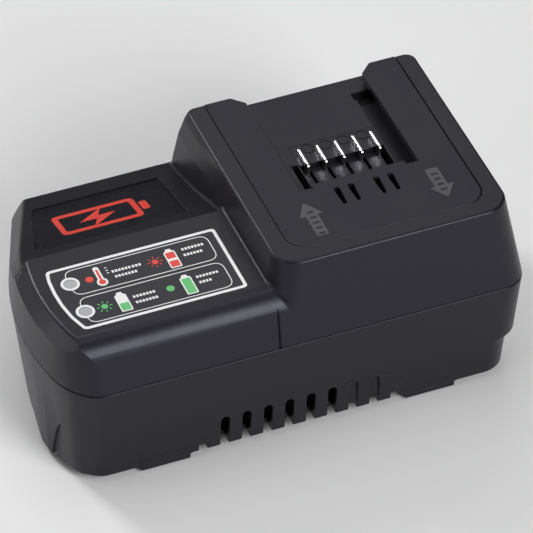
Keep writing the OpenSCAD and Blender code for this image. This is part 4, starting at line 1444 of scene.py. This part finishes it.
@dataclass
class Graph:
    """Small helper that adds nodes to a tree and joins them."""

    tree: Tree

    def plug(self, node: Node, inputs: dict[str | int, object]) -> None:
        """Sets or links inputs of a node.

        Args:
            node: The node.
            inputs: Value or output socket for each input.
        """
        for key, value in inputs.items():
            if isinstance(value, Socket):
                self.tree.links.new(value, node.inputs[key])
            else:
                node.inputs[key].default_value = value

    def add(self, kind: str, settings: dict[str, object] | None = None,
            inputs: dict[str | int, object] | None = None) -> Node:
        """Adds one node.

        Args:
            kind: Node type.
            settings: Attributes of the node.
            inputs: Value or output socket for its inputs.

        Returns:
            The node.
        """
        node = self.tree.nodes.new(kind)
        for key, value in (settings or {}).items():
            setattr(node, key, value)
        self.plug(node, inputs or {})
        return node

    def group(self, tree: Tree, inputs: dict[str, object]) -> Node:
        """Adds a group node."""
        return self.add("ShaderNodeGroup", {"node_tree": tree}, inputs)

    def here(self) -> Socket:
        """Object coordinates."""
        return self.add("ShaderNodeTexCoord").outputs["Object"]

    def plus(self, a: object, b: object) -> Socket:
        """Sum of two values."""
        return self.add("ShaderNodeMath", {"operation": "ADD"}, {0: a, 1: b}).outputs[0]

    def times(self, a: object, b: object) -> Socket:
        """Product of two values."""
        return self.add("ShaderNodeMath", {"operation": "MULTIPLY"}, {0: a, 1: b}).outputs[0]

    def swing(self, value: Socket, by: object) -> Socket:
        """Part of a noise above or below its middle, scaled."""
        return self.times(self.plus(value, -0.5), by)

    def noise(self, where: Socket, scale: object, detail: float = 2.0) -> Socket:
        """Adds a noise and gives its value."""
        return self.add("ShaderNodeTexNoise", {}, {"Vector": where, "Scale": scale,
                                                   "Detail": detail}).outputs["Fac"]

    def stretch(self, where: Socket, scale: Triple) -> Socket:
        """Stretches coordinates."""
        return self.add("ShaderNodeMapping", {}, {"Vector": where, "Scale": scale}).outputs[0]

    def remap(self, value: object, low: float, high: float, to_low: object, to_high: object
              ) -> Socket:
        """Maps a range of values to another, held at its ends."""
        return self.add("ShaderNodeMapRange", {}, {
            "Value": value, "From Min": low, "From Max": high, "To Min": to_low,
            "To Max": to_high}).outputs[0]

    def blend(self, share: object, a: object, b: object) -> Socket:
        """Mixes two colours."""
        return self.add("ShaderNodeMix", {"data_type": "RGBA"},
                        {0: share, 6: a, 7: b}).outputs[2]

    def bump(self, height: Socket, distance: object) -> Socket:
        """Normal of a surface with a relief of the given depth."""
        return self.add("ShaderNodeBump", {}, {"Height": height,
                                               "Distance": distance}).outputs[0]


def open_group(name: str, kind: str, inputs: dict[str, str], outputs: dict[str, str]
               ) -> tuple[Graph, Node, Node]:
    """Starts a node group with its sockets.

    Args:
        name: Name of the group.
        kind: Type of the tree.
        inputs: Kind of each input by its name.
        outputs: Kind of each output by its name.

    Returns:
        Its graph, its input node and its output node.
    """
    tree = bpy.data.node_groups.new(name, kind)
    for way, sockets in (("INPUT", inputs), ("OUTPUT", outputs)):
        for label, socket in sockets.items():
            tree.interface.new_socket(label, in_out=way, socket_type=f"NodeSocket{socket}")
    graph = Graph(tree)
    return graph, graph.add("NodeGroupInput"), graph.add("NodeGroupOutput")


# ---------- repeated pieces ----------

@dataclass(frozen=True)
class Repeater:
    """Sets copies of one piece at given places with a node tree."""

    name: str
    places: tuple[Triple, ...]
    turn: Triple = (0.0, 0.0, 0.0)

    def tree(self) -> Tree:
        """Makes the tree: points of the carrier, one piece on each, made real.

        Returns:
            The tree.
        """
        g, enter, leave = open_group(
            f"{self.name}_rows", "GeometryNodeTree",
            {"Geometry": "Geometry", "Piece": "Object", "Turn": "Vector", "Finish": "Material"},
            {"Geometry": "Geometry"})
        given = enter.outputs
        points = g.add("GeometryNodeMeshToPoints", {}, {"Mesh": given["Geometry"]})
        piece = g.add("GeometryNodeObjectInfo", {}, {"Object": given["Piece"]})
        placed = g.add("GeometryNodeInstanceOnPoints", {}, {
            "Points": points.outputs["Points"], "Instance": piece.outputs["Geometry"],
            "Rotation": given["Turn"]})
        real = g.add("GeometryNodeRealizeInstances", {},
                     {"Geometry": placed.outputs["Instances"]})
        dress = g.add("GeometryNodeSetMaterial", {}, {"Geometry": real.outputs["Geometry"],
                                                      "Material": given["Finish"]})
        g.plug(leave, {"Geometry": dress.outputs["Geometry"]})
        return g.tree

    def build(self, piece: Object, finish: Material) -> Object:
        """Makes one object of all copies.

        Args:
            piece: The piece to copy, at the origin; it is removed.
            finish: Material of the copies.

        Returns:
            The new object.
        """
        mesh = bpy.data.meshes.new(self.name)
        mesh.from_pydata([Vector(p) * MM for p in self.places], [], [])
        obj = put(self.name, mesh)
        tree = self.tree()
        rows = obj.modifiers.new("rows", "NODES")
        rows.node_group = tree
        keys = {item.name: item.identifier for item in tree.interface.items_tree
                if item.in_out == "INPUT"}
        rows[keys["Piece"]] = piece
        rows[keys["Turn"]] = self.turn
        rows[keys["Finish"]] = finish
        settle(obj)
        bpy.data.objects.remove(piece)
        return obj


@dataclass(frozen=True)
class Fastener:
    """Pan-head screw with a cross recess; the head stands on z 0 and the shank points down."""

    head_radius: float
    head_height: float
    shank_radius: float
    length: float
    pitch: float = 0.9
    arm: Pair = (0.17, 0.62)
    spacing: float = 0.22

    def solid(self, p: Point) -> Array:
        """The screw as a solid.

        Args:
            p: X, Y and Z of the points.

        Returns:
            Values of the solid.
        """
        x, y, z = p
        away = np.hypot(x, y)
        head = both(away - self.head_radius, z - self.head_height, 0.4 * self.head_height)
        half, reach = (share * self.head_radius for share in self.arm)
        deep = self.head_height * 0.35 + 0.55 * away
        cross = np.minimum(np.maximum(np.abs(x) - half, np.abs(y) - reach),
                           np.maximum(np.abs(y) - half, np.abs(x) - reach))
        head = cut(np.maximum(head, -z), np.maximum(cross, deep - z), 0.04)
        turn = np.arctan2(y, x) / (2 * math.pi) + z / self.pitch
        tooth = np.abs(turn - np.floor(turn) - 0.5) * 2
        worm = away - self.shank_radius * (0.8 + 0.2 * tooth)
        shank = np.where(z > -1.0, away - self.shank_radius, worm)
        tip = (z + self.length) * -0.7 + away * 0.7 - 0.15
        return np.minimum(head, within(shank, tip, z - 0.05))

    def build(self, name: str) -> Object:
        """Makes one screw at the origin.

        Args:
            name: Name of the object.

        Returns:
            The screw.
        """
        wide = self.head_radius + 0.3
        across = grid(-wide, wide, self.spacing)
        along = grid(-self.length - 0.4, self.head_height + 0.3, self.spacing)
        return Moulder(tiles=(400.0,)).mesh(name, self.solid, (across, across, along))


@dataclass(frozen=True)
class Lamps:
    """Two lamp windows with light pipes."""

    spots: tuple[Pair, ...] = ((-76.2, -31.3), (-76.2, -15.1))
    profile: tuple[Pair, ...] = (
        (0, 60.6), (2.7, 60.6), (3.0, 60.9), (3.0, 65.3), (4.2, 65.3), (4.2, 67.3), (3.0, 67.3),
        (3.0, 69.2), (2.9, 69.42), (2.6, 69.55), (1.8, 69.63), (0.9, 69.67), (0, 69.68))

    def build(self, finish: Material) -> Object:
        """Makes both light pipes."""
        places = tuple((x, y, 0.0) for x, y in self.spots)
        return Repeater("lamp_windows", places).build(lathe("pipe", self.profile), finish)


@dataclass(frozen=True)
class RubberPads:
    """Four pads in the moulded feet, with a ring groove in each sole."""

    spots: tuple[Pair, ...] = LowerShell().feet
    profile: tuple[Pair, ...] = (
        (0, 0.0), (2.6, 0.0), (2.8, 0.25), (3.2, 0.25), (3.4, 0.0), (4.6, 0.0), (4.9, 0.2),
        (5.0, 0.5), (5.0, 1.58), (0, 1.58))

    def build(self, finish: Material) -> Object:
        """Makes the pads."""
        places = tuple((x, y, 0.0) for x, y in self.spots)
        return Repeater("rubber_pads", places).build(lathe("pad", self.profile, 40), finish)


@dataclass(frozen=True)
class Blades:
    """Five plated contact blades."""

    seats: TerminalBlock = TerminalBlock()
    low: float = 70.0
    high: float = 80.0
    near: float = 3.5
    length: float = 10.5
    thickness: float = 0.8

    def blade(self, p: Point) -> Array:
        """One blade at the origin, with rounded noses and a coined top edge.

        Args:
            p: X, Y and Z of the points.

        Returns:
            Values of the solid.
        """
        x, y, z = p
        side = both(self.near - y, z - self.high, 1.2)
        side = both(side, y - self.near - self.length, 0.6)
        side = np.maximum(side, self.low - z)
        return both(np.abs(x) - self.thickness / 2, side, 0.22)

    def build(self, finish: Material) -> Object:
        """Makes all blades.

        Args:
            finish: Material of the blades.

        Returns:
            The blades.
        """
        one = Moulder(tiles=(400.0,)).mesh(
            "blade", self.blade, (grid(-0.7, 0.7, 0.13), grid(self.near - 0.4, 14.4, 0.3),
                                  grid(self.low - 0.4, self.high + 0.4, 0.3)))
        places = tuple((self.seats.middle + i * self.seats.pitch, 0.0, 0.0)
                       for i in self.seats.places)
        return Repeater("contact_blades", places).build(one, finish)


# ---------- finishes ----------

class Effects:
    """Node groups that several finishes share, each built once."""

    @staticmethod
    @cache
    def grain() -> Tree:
        """Moulded or cast grain: mottled colour, uneven gloss and a fine bump.

        Returns:
            The group.
        """
        g, enter, leave = open_group(
            "surface_grain", "ShaderNodeTree",
            {"Color": "Color", "Roughness": "Float", "Grain Scale": "Float",
             "Grain Depth": "Float", "Mottling": "Float"},
            {"Color": "Color", "Roughness": "Float", "Normal": "Vector"})
        at, given = g.here(), enter.outputs
        shade = g.plus(g.times(g.noise(at, 22.0, 3.0), 0.6), g.times(g.noise(at, 190.0, 3.0), 0.4))
        fine = g.noise(at, given["Grain Scale"])
        factor = g.plus(g.plus(g.swing(shade, given["Mottling"]), 1.0), g.swing(fine, 0.25))
        tint = g.add("ShaderNodeVectorMath", {"operation": "SCALE"},
                     {0: given["Color"], "Scale": factor}).outputs[0]
        gloss = g.plus(g.plus(given["Roughness"], g.swing(shade, 0.22)), g.swing(fine, 0.16))
        g.plug(leave, {"Color": tint, "Roughness": gloss,
                       "Normal": g.bump(fine, given["Grain Depth"])})
        return g.tree

    @staticmethod
    @cache
    def dust() -> Tree:
        """Share of fine dust, which lies where the surface looks up.

        Returns:
            The group.
        """
        g, enter, leave = open_group("settled_dust", "ShaderNodeTree", {"Amount": "Float"},
                                     {"Mask": "Float"})
        at = g.here()
        normal = g.add("ShaderNodeNewGeometry").outputs["Normal"]
        up = g.add("ShaderNodeSeparateXYZ", {}, {0: normal}).outputs[2]
        spots = g.remap(g.noise(at, 900.0, 1.0), 0.66, 0.74, 0.0, 1.0)
        veil = g.remap(g.noise(at, 35.0, 4.0), 0.35, 0.75, 0.05, 0.5)
        lying = g.times(g.plus(g.times(spots, 0.8), veil), g.remap(up, 0.2, 0.9, 0.0, 1.0))
        g.plug(leave, {"Mask": g.times(lying, enter.outputs["Amount"])})
        return g.tree

    @staticmethod
    @cache
    def scratches() -> Tree:
        """Fine drawn lines of metal along one direction.

        Returns:
            The group.
        """
        g, enter, leave = open_group("drawn_lines", "ShaderNodeTree",
                                     {"Vector": "Vector", "Depth": "Float"},
                                     {"Mask": "Float", "Normal": "Vector"})
        lines = g.noise(enter.outputs["Vector"], 1.0, 4.0)
        g.plug(leave, {"Mask": lines, "Normal": g.bump(lines, enter.outputs["Depth"])})
        return g.tree


def open_material(name: str) -> tuple[Material, Graph, Node]:
    """Starts a material.

    Args:
        name: Name of the material.

    Returns:
        Material, its graph and its shader.
    """
    material = bpy.data.materials.new(name)
    material.use_nodes = True
    return material, Graph(material.node_tree), material.node_tree.nodes["Principled BSDF"]


@dataclass(frozen=True)
class Plastic:
    """Moulded plastic, film, rubber or other matter with a fine even grain."""

    name: str
    color: Triple
    roughness: float = 0.42
    grain_scale: float = 1900.0
    grain_depth: float = 0.00003
    mottling: float = 0.25
    dust: float = 0.0
    coat: float = 0.0
    specular: float = 0.5
    tint: Triple = (1.0, 1.0, 1.0)
    dust_color: Triple = (0.32, 0.31, 0.30)

    def make(self) -> Material:
        """Builds the material.

        Returns:
            The material.
        """
        material, g, shader = open_material(self.name)
        grain = g.group(Effects.grain(), {
            "Color": (*self.color, 1.0), "Roughness": self.roughness,
            "Grain Scale": self.grain_scale, "Grain Depth": self.grain_depth,
            "Mottling": self.mottling}).outputs
        color, rough = grain["Color"], grain["Roughness"]
        if self.dust > 0:
            mask = g.group(Effects.dust(), {"Amount": self.dust}).outputs["Mask"]
            color = g.blend(mask, color, (*self.dust_color, 1.0))
            rough = g.plus(rough, g.times(mask, 0.5))
        g.plug(shader, {
            "Base Color": color, "Roughness": rough, "Normal": grain["Normal"],
            "Specular IOR Level": self.specular, "Specular Tint": (*self.tint, 1.0),
            "Coat Weight": self.coat, "Coat Roughness": 0.2})
        return material


@dataclass(frozen=True)
class Metal:
    """Drawn, plated or sintered metal."""

    name: str
    color: Triple
    roughness: float = 0.28
    lines: Triple = (250.0, 4000.0, 4000.0)
    depth: float = 0.00001
    tarnish: Triple = (0.30, 0.27, 0.23)

    def make(self) -> Material:
        """Builds the material.

        Returns:
            The material.
        """
        material, g, shader = open_material(self.name)
        at = g.here()
        drawn = g.group(Effects.scratches(), {"Vector": g.stretch(at, self.lines),
                                              "Depth": self.depth}).outputs
        stain = g.remap(g.noise(at, 260.0, 4.0), 0.5, 0.8, 0.0, 0.35)
        rough = g.plus(g.times(drawn["Mask"], 0.3), self.roughness - 0.15)
        g.plug(shader, {
            "Base Color": g.blend(stain, (*self.color, 1.0), (*self.tarnish, 1.0)),
            "Roughness": g.plus(rough, g.times(stain, 0.4)), "Normal": drawn["Normal"],
            "Metallic": 1.0})
        return material


@dataclass(frozen=True)
class BoardFinish:
    """Circuit board: solder mask over a pattern of tracks, with tinned pads."""

    name: str = "solder_mask"
    mask: Triple = (0.012, 0.085, 0.035)
    track: Triple = (0.025, 0.17, 0.07)
    tin: Triple = (0.62, 0.60, 0.55)

    def make(self) -> Material:
        """Builds the material.

        Returns:
            The material.
        """
        material, g, shader = open_material(self.name)
        at = g.here()
        flat = g.stretch(at, (1.0, 1.0, 0.02))
        bricks = g.add("ShaderNodeTexBrick", {"offset": 0.37}, {
            "Vector": flat, "Scale": 120.0, "Mortar Size": 0.06, "Mortar Smooth": 0.2,
            "Brick Width": 1.3, "Row Height": 0.42}).outputs["Fac"]
        cells = g.add("ShaderNodeTexVoronoi", {"distance": "CHEBYCHEV"}, {
            "Vector": flat, "Scale": 260.0, "Randomness": 0.55}).outputs["Distance"]
        pads = g.remap(cells, 0.10, 0.13, 1.0, 0.0)
        cloth = g.noise(g.stretch(at, (1400.0, 300.0, 300.0)), 1.0, 1.0)
        color = g.blend(bricks, (*self.mask, 1.0), (*self.track, 1.0))
        height = g.plus(g.plus(g.times(bricks, 0.6), g.times(cloth, 0.2)), pads)
        g.plug(shader, {
            "Base Color": g.blend(pads, color, (*self.tin, 1.0)),
            "Roughness": g.remap(pads, 0, 1, 0.34, 0.26), "Metallic": pads,
            "Normal": g.bump(height, 0.00005), "Coat Weight": 0.3})
        return material


@dataclass(frozen=True)
class Wound:
    """Wire or tape laid in turns one above the other, with painted shade in the grooves between
    turns.
    """

    name: str
    color: Triple
    # groove: darker colour of the low parts between turns, which is painted shade
    groove: Triple
    turns: float = 1100.0
    roughness: float = 0.38

    def make(self) -> Material:
        """Builds the material.

        Returns:
            The material.
        """
        material, g, shader = open_material(self.name)
        at = g.here()
        waves = g.add("ShaderNodeTexWave", {"bands_direction": "Z"}, {
            "Vector": at, "Scale": self.turns / 6.28, "Distortion": 0.6, "Detail": 1.0,
            "Detail Scale": 40.0}).outputs["Fac"]
        blotch = g.noise(at, 300.0, 3.0)
        groove = (*self.groove, 1.0)
        # Where the waves dip (the low parts of the bump relief), the colour turns to the groove
        # colour: painted shade in the grooves between turns.
        color = g.blend(g.remap(waves, 0.05, 0.6, 0, 1), groove, (*self.color, 1.0))
        g.plug(shader, {
            "Base Color": g.blend(g.remap(blotch, 0.5, 0.8, 0, 0.35), color, groove),
            "Roughness": g.plus(g.times(blotch, 0.2), self.roughness - 0.1),
            "Normal": g.bump(waves, 0.00012)})
        return material


@dataclass(frozen=True)
class Glass:
    """Clear tube with a faint haze."""

    name: str = "fuse_glass"
    clear: Triple = (0.85, 0.89, 0.90)
    hazy: Triple = (0.70, 0.76, 0.78)

    def make(self) -> Material:
        """Builds the material.

        Returns:
            The material.
        """
        material, g, shader = open_material(self.name)
        haze = g.noise(g.here(), 400.0, 3.0)
        g.plug(shader, {
            "Base Color": g.blend(haze, (*self.clear, 1.0), (*self.hazy, 1.0)),
            "Roughness": g.remap(haze, 0.3, 0.8, 0.03, 0.14),
            "Transmission Weight": 0.85, "IOR": 1.48})
        return material


class Finishes:
    """All finishes of the station by the name of their slot."""

    def __init__(self) -> None:
        """Builds every material once."""
        dark = {"dust": 0.02, "specular": 0.34, "tint": (0.86, 0.86, 1.0)}
        film = {"grain_scale": 2600.0, "grain_depth": 0.00001}
        along_z = (4000.0, 4000.0, 300.0)
        recipes = {
            "case_plastic": Plastic("charcoal_shell", (0.008, 0.008, 0.012), 0.36, 1700.0,
                                    mottling=0.22, **dark),
            "dock_plastic": Plastic("charcoal_insert", (0.011, 0.011, 0.016), 0.42, 2000.0,
                                    mottling=0.2, **dark),
            "contact_metal": Metal("plated_contact", (0.86, 0.86, 0.87), 0.22),
            "copper": Metal("tinned_copper", (0.72, 0.42, 0.24), 0.35, along_z),
            "label_print": Plastic("label_film", (0.010, 0.010, 0.014), 0.34, **film,
                                   mottling=0.15, coat=0.15, **dark),
            "panel_gloss": Plastic("inlay_film", (0.009, 0.009, 0.013), 0.28, 2400.0, 0.00001,
                                   0.18, coat=0.2, **dark),
            "lamp_lens": Plastic("frosted_lens", (0.40, 0.40, 0.41), 0.35, 1100.0, 0.00010,
                                 0.9, coat=0.3),
            "circuit_board": BoardFinish(),
            "screw_steel": Metal("zinc_steel", (0.62, 0.62, 0.63), 0.32),
            # Wound colours: the turns' own colour, then the darker groove colour, which is painted
            # shade between turns.
            "ribbon": Wound("ribbon_sleeve", (0.42, 0.42, 0.44), (0.24, 0.24, 0.26), 2600.0),
            "ferrite": Plastic("sintered_ferrite", (0.045, 0.044, 0.046), 0.5, 700.0, 0.00015,
                               0.6),
            "winding_tape": Wound("winding_tape", (0.78, 0.56, 0.06), (0.42, 0.27, 0.02), 420.0),
            "capacitor_sleeve": Plastic("shrink_sleeve", (0.018, 0.02, 0.05), 0.26, 500.0,
                                        0.00006, 0.3, coat=0.4),
            "epoxy_black": Plastic("moulding_compound", (0.02, 0.02, 0.021), 0.55, 1200.0,
                                   0.00008, 0.4),
            "fuse_glass": Glass(),
            "sink_aluminium": Metal("extruded_sink", (0.72, 0.73, 0.74), 0.36,
                                    (4000.0, 4000.0, 120.0), 0.00002),
            "fan_plastic": Plastic("fan_resin", (0.02, 0.02, 0.022), 0.45, 1500.0, 0.00005,
                                   0.3),
            "bearing_brass": Metal("sintered_brass", (0.72, 0.55, 0.28), 0.4,
                                   (900.0, 900.0, 900.0), 0.00004, (0.35, 0.24, 0.10)),
            "foot_rubber": Plastic("foot_rubber", (0.018, 0.018, 0.018), 0.75, 800.0, 0.00012,
                                   0.4, 0.25),
        }
        inks = {
            Ink.WHITE: Plastic("white_ink", (0.83, 0.83, 0.83), mottling=0.06, **film),
            Ink.RED: Plastic("red_ink", (0.72, 0.055, 0.035), 0.40, mottling=0.12, **film),
            Ink.GREEN: Plastic("green_ink", (0.12, 0.52, 0.17), 0.40, mottling=0.12, **film),
        }
        self.by_slot = {slot: recipe.make() for slot, recipe in recipes.items()}
        self.inks = {ink: recipe.make() for ink, recipe in inks.items()}
        # Raised arrows: the insert's dark plastic made about four times lighter, a painted sheen
        # for their raised tops catching the light; the strokes on them keep the insert's own
        # colour.
        self.arrow = Plastic("polished_arrow", (0.050, 0.050, 0.060), 0.36, 2200.0,
                             mottling=0.2, dust=0.05).make()


# ---------- studio ----------

@dataclass(frozen=True)
class Studio:
    """Floor, lights and camera."""

    azimuth: float = -21.86
    elevation: float = 41.87
    roll: float = 0.10
    distance: float = 2.0
    lens: float = 36 * 5279.2 / 533
    target: Triple = (0.00433, -0.01145, 0.04894)
    aim: Triple = (0.0, 0.0, 0.05)
    lights: tuple[tuple[Triple, float, float], ...] = (
        ((0.42, -1.0, 1.02), 0.5, 2.5), ((0.42, -1.25, 0.75), 0.75, 15.0),
        ((-1.0, 1.0, 0.45), 0.5, 1.0), ((-0.1, 0.15, 1.6), 1.2, 7.0),
        ((-1.5, -0.4, 0.5), 0.6, 3.5), ((0.4, 1.0, 0.97), 0.7, 2.0),
        ((-1.5, 0.6, 0.2), 0.4, 3.5), ((-0.5, 1.04, 0.97), 0.25, 8.0))

    def build(self) -> None:
        """Makes everything that is not part of the object."""
        self.floor()
        world = bpy.data.worlds.new("studio")
        world.use_nodes = True
        back = world.node_tree.nodes["Background"]
        back.inputs["Color"].default_value = (0.90, 0.93, 1.0, 1.0)
        back.inputs["Strength"].default_value = 0.03
        bpy.context.scene.world = world
        for k, (spot, size, power) in enumerate(self.lights):
            lamp = bpy.data.lights.new(f"softbox_{k}", "AREA")
            lamp.size, lamp.energy = size, power
            turn = (Vector(self.aim) - Vector(spot)).to_track_quat("-Z", "Y")
            put(lamp.name, lamp).matrix_world = Matrix.LocRotScale(spot, turn, None)
        self.camera()
        bpy.context.scene.view_settings.view_transform = "Standard"

    def floor(self) -> None:
        """Makes the floor."""
        bpy.ops.mesh.primitive_plane_add(size=8.0, location=(0, 0, -0.0001))
        floor = bpy.context.object
        floor.name = "studio_floor"
        material, g, shader = open_material("pale_floor")
        tone = g.remap(g.noise(g.here(), 3.0), 0.3, 0.7, 0.0, 1.0)
        g.plug(shader, {
            "Base Color": g.blend(tone, (0.80, 0.80, 0.80, 1.0), (0.83, 0.83, 0.83, 1.0)),
            "Roughness": 0.7})
        floor.data.materials.append(material)

    def camera(self) -> None:
        """Makes the camera."""
        a, e = math.radians(self.azimuth), math.radians(self.elevation)
        back = Vector((math.sin(a) * math.cos(e), -math.cos(a) * math.cos(e), math.sin(e)))
        right = Vector((math.cos(a), math.sin(a), 0))
        turn = Matrix((right, back.cross(right), back)).transposed().to_4x4()
        lean = Matrix.Rotation(math.radians(self.roll), 4, "Z")
        camera = bpy.data.cameras.new("camera")
        camera.sensor_width = 36
        camera.sensor_fit = "HORIZONTAL"
        camera.lens = self.lens
        camera.clip_end = 50
        obj = put("camera", camera)
        spot = Matrix.Translation(Vector(self.target) + back * self.distance)
        obj.matrix_world = spot @ turn @ lean
        bpy.context.scene.camera = obj


# ---------- the whole station ----------

@dataclass
class Station:
    """Builds all pieces and puts them on their bodies."""

    frame: dict
    finishes: Finishes = field(default_factory=Finishes)
    outline: Outline = Outline()
    offset: float = 0.5
    case_heads_z: float = 24.0
    dock_heads_z: float = 72.2
    board_heads_z: float = 13.6
    lamp_head_z: float = 54.0
    fan_heads_x: float = 80.0

    def place(self, obj: Object, slot: str, *nodes: str, body: str = "housing",
              material: Material | None = None) -> None:
        """Dresses a piece, hangs it on its body and reports it.

        Args:
            obj: The finished piece.
            slot: Material slot of the record.
            nodes: CAD nodes that it stands for.
            body: Body that it rides on.
            material: Finish where it isn't the slot's own.
        """
        obj.data.materials.clear()
        obj.data.materials.append(material or self.finishes.by_slot[slot])
        obj.data.transform(Matrix.Translation((self.offset * MM, 0, 0)))
        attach(obj, body)
        if nodes:
            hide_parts(*nodes)
        LOG.info("%s: %d faces", obj.name, len(obj.data.polygons))

    def dress_nodes(self) -> None:
        """Gives every CAD node the finish of its slot."""
        for name, obj in self.frame["nodes"].items():
            for item in obj.material_slots:
                slot = item.material.name.split(".")[0] if item.material else ""
                if slot in self.finishes.by_slot:
                    item.material = self.finishes.by_slot[slot]
                else:
                    LOG.warning("%s has no finish for %s", name, slot)

    def screws(self) -> None:
        """Makes all screws, a set for each node."""
        shell, dock = LowerShell(), Dock()
        level = (0.0, 0.0, 0.0)
        down = (math.pi, 0.0, 0.0)
        inwards = (0.0, math.pi / 2, 0.0)
        rows = (
            (Fastener(3.0, 2.4, 1.4, 28.0), "case_screws", down,
             tuple((x, y, self.case_heads_z) for x, y in self.outline.screws)),
            (Fastener(2.9, 2.2, 1.35, 6.9), "dock_screws", down,
             tuple((x, y, self.dock_heads_z) for x, y in dock.screws)),
            (Fastener(2.6, 1.9, 1.2, 6.5), "board_screws", level,
             tuple((x, y, self.board_heads_z) for x, y in shell.standoffs)),
            (Fastener(2.2, 1.8, 1.05, 6.6), "indicator_screw", down,
             tuple((x, y, self.lamp_head_z) for x, y in UpperShell().lamp_boss)),
            (Fastener(2.4, 1.8, 1.2, 12.0), "fan_screws", inwards,
             tuple((self.fan_heads_x, y, shell.fan_z + z) for y, z in shell.fan_bolts)),
        )
        steel = self.finishes.by_slot["screw_steel"]
        for fastener, node, turn, places in rows:
            one = fastener.build(node + "_one")
            self.place(Repeater(f"{node}_set", places, turn).build(one, steel), "screw_steel",
                       node)

    def build(self) -> None:
        """Makes every piece in order."""
        self.dress_nodes()
        by_slot = self.finishes.by_slot
        self.place(LowerShell().build(), "case_plastic", "lower_case")
        self.place(UpperShell().build(), "case_plastic", "upper_case")
        self.place(Dock().build(), "dock_plastic", "dock_plate")
        self.place(TerminalBlock().build(), "dock_plastic", "terminal_block")
        self.place(Blades().build(by_slot["contact_metal"]), "contact_metal", "terminal_blades")
        film, prints = StatusLabel().build()
        self.place(film, "label_print", "status_label")
        for ink, obj in prints.items():
            self.place(obj, "label_print", material=self.finishes.inks[ink])
        inlay, sign = BadgePanel().build()
        self.place(inlay, "panel_gloss", "badge_panel")
        self.place(sign, "panel_gloss", material=self.finishes.inks[Ink.RED])
        arrows, strokes = DirectionArrows().build()
        # The arrows get the lighter plastic, which is painted sheen; the strokes get the insert's
        # own colour.
        self.place(arrows, "dock_plastic", material=self.finishes.arrow)
        self.place(strokes, "dock_plastic")
        self.place(Lamps().build(by_slot["lamp_lens"]), "lamp_lens", "light_pipes")
        self.place(RubberPads().build(by_slot["foot_rubber"]), "foot_rubber", "rubber_feet")
        self.screws()


def main() -> None:
    """Loads the frame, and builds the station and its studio."""
    logging.basicConfig(level=logging.INFO, format="%(message)s")
    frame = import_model()
    Studio().build()
    Station(frame).build()


if __name__ == "__main__":
    main()
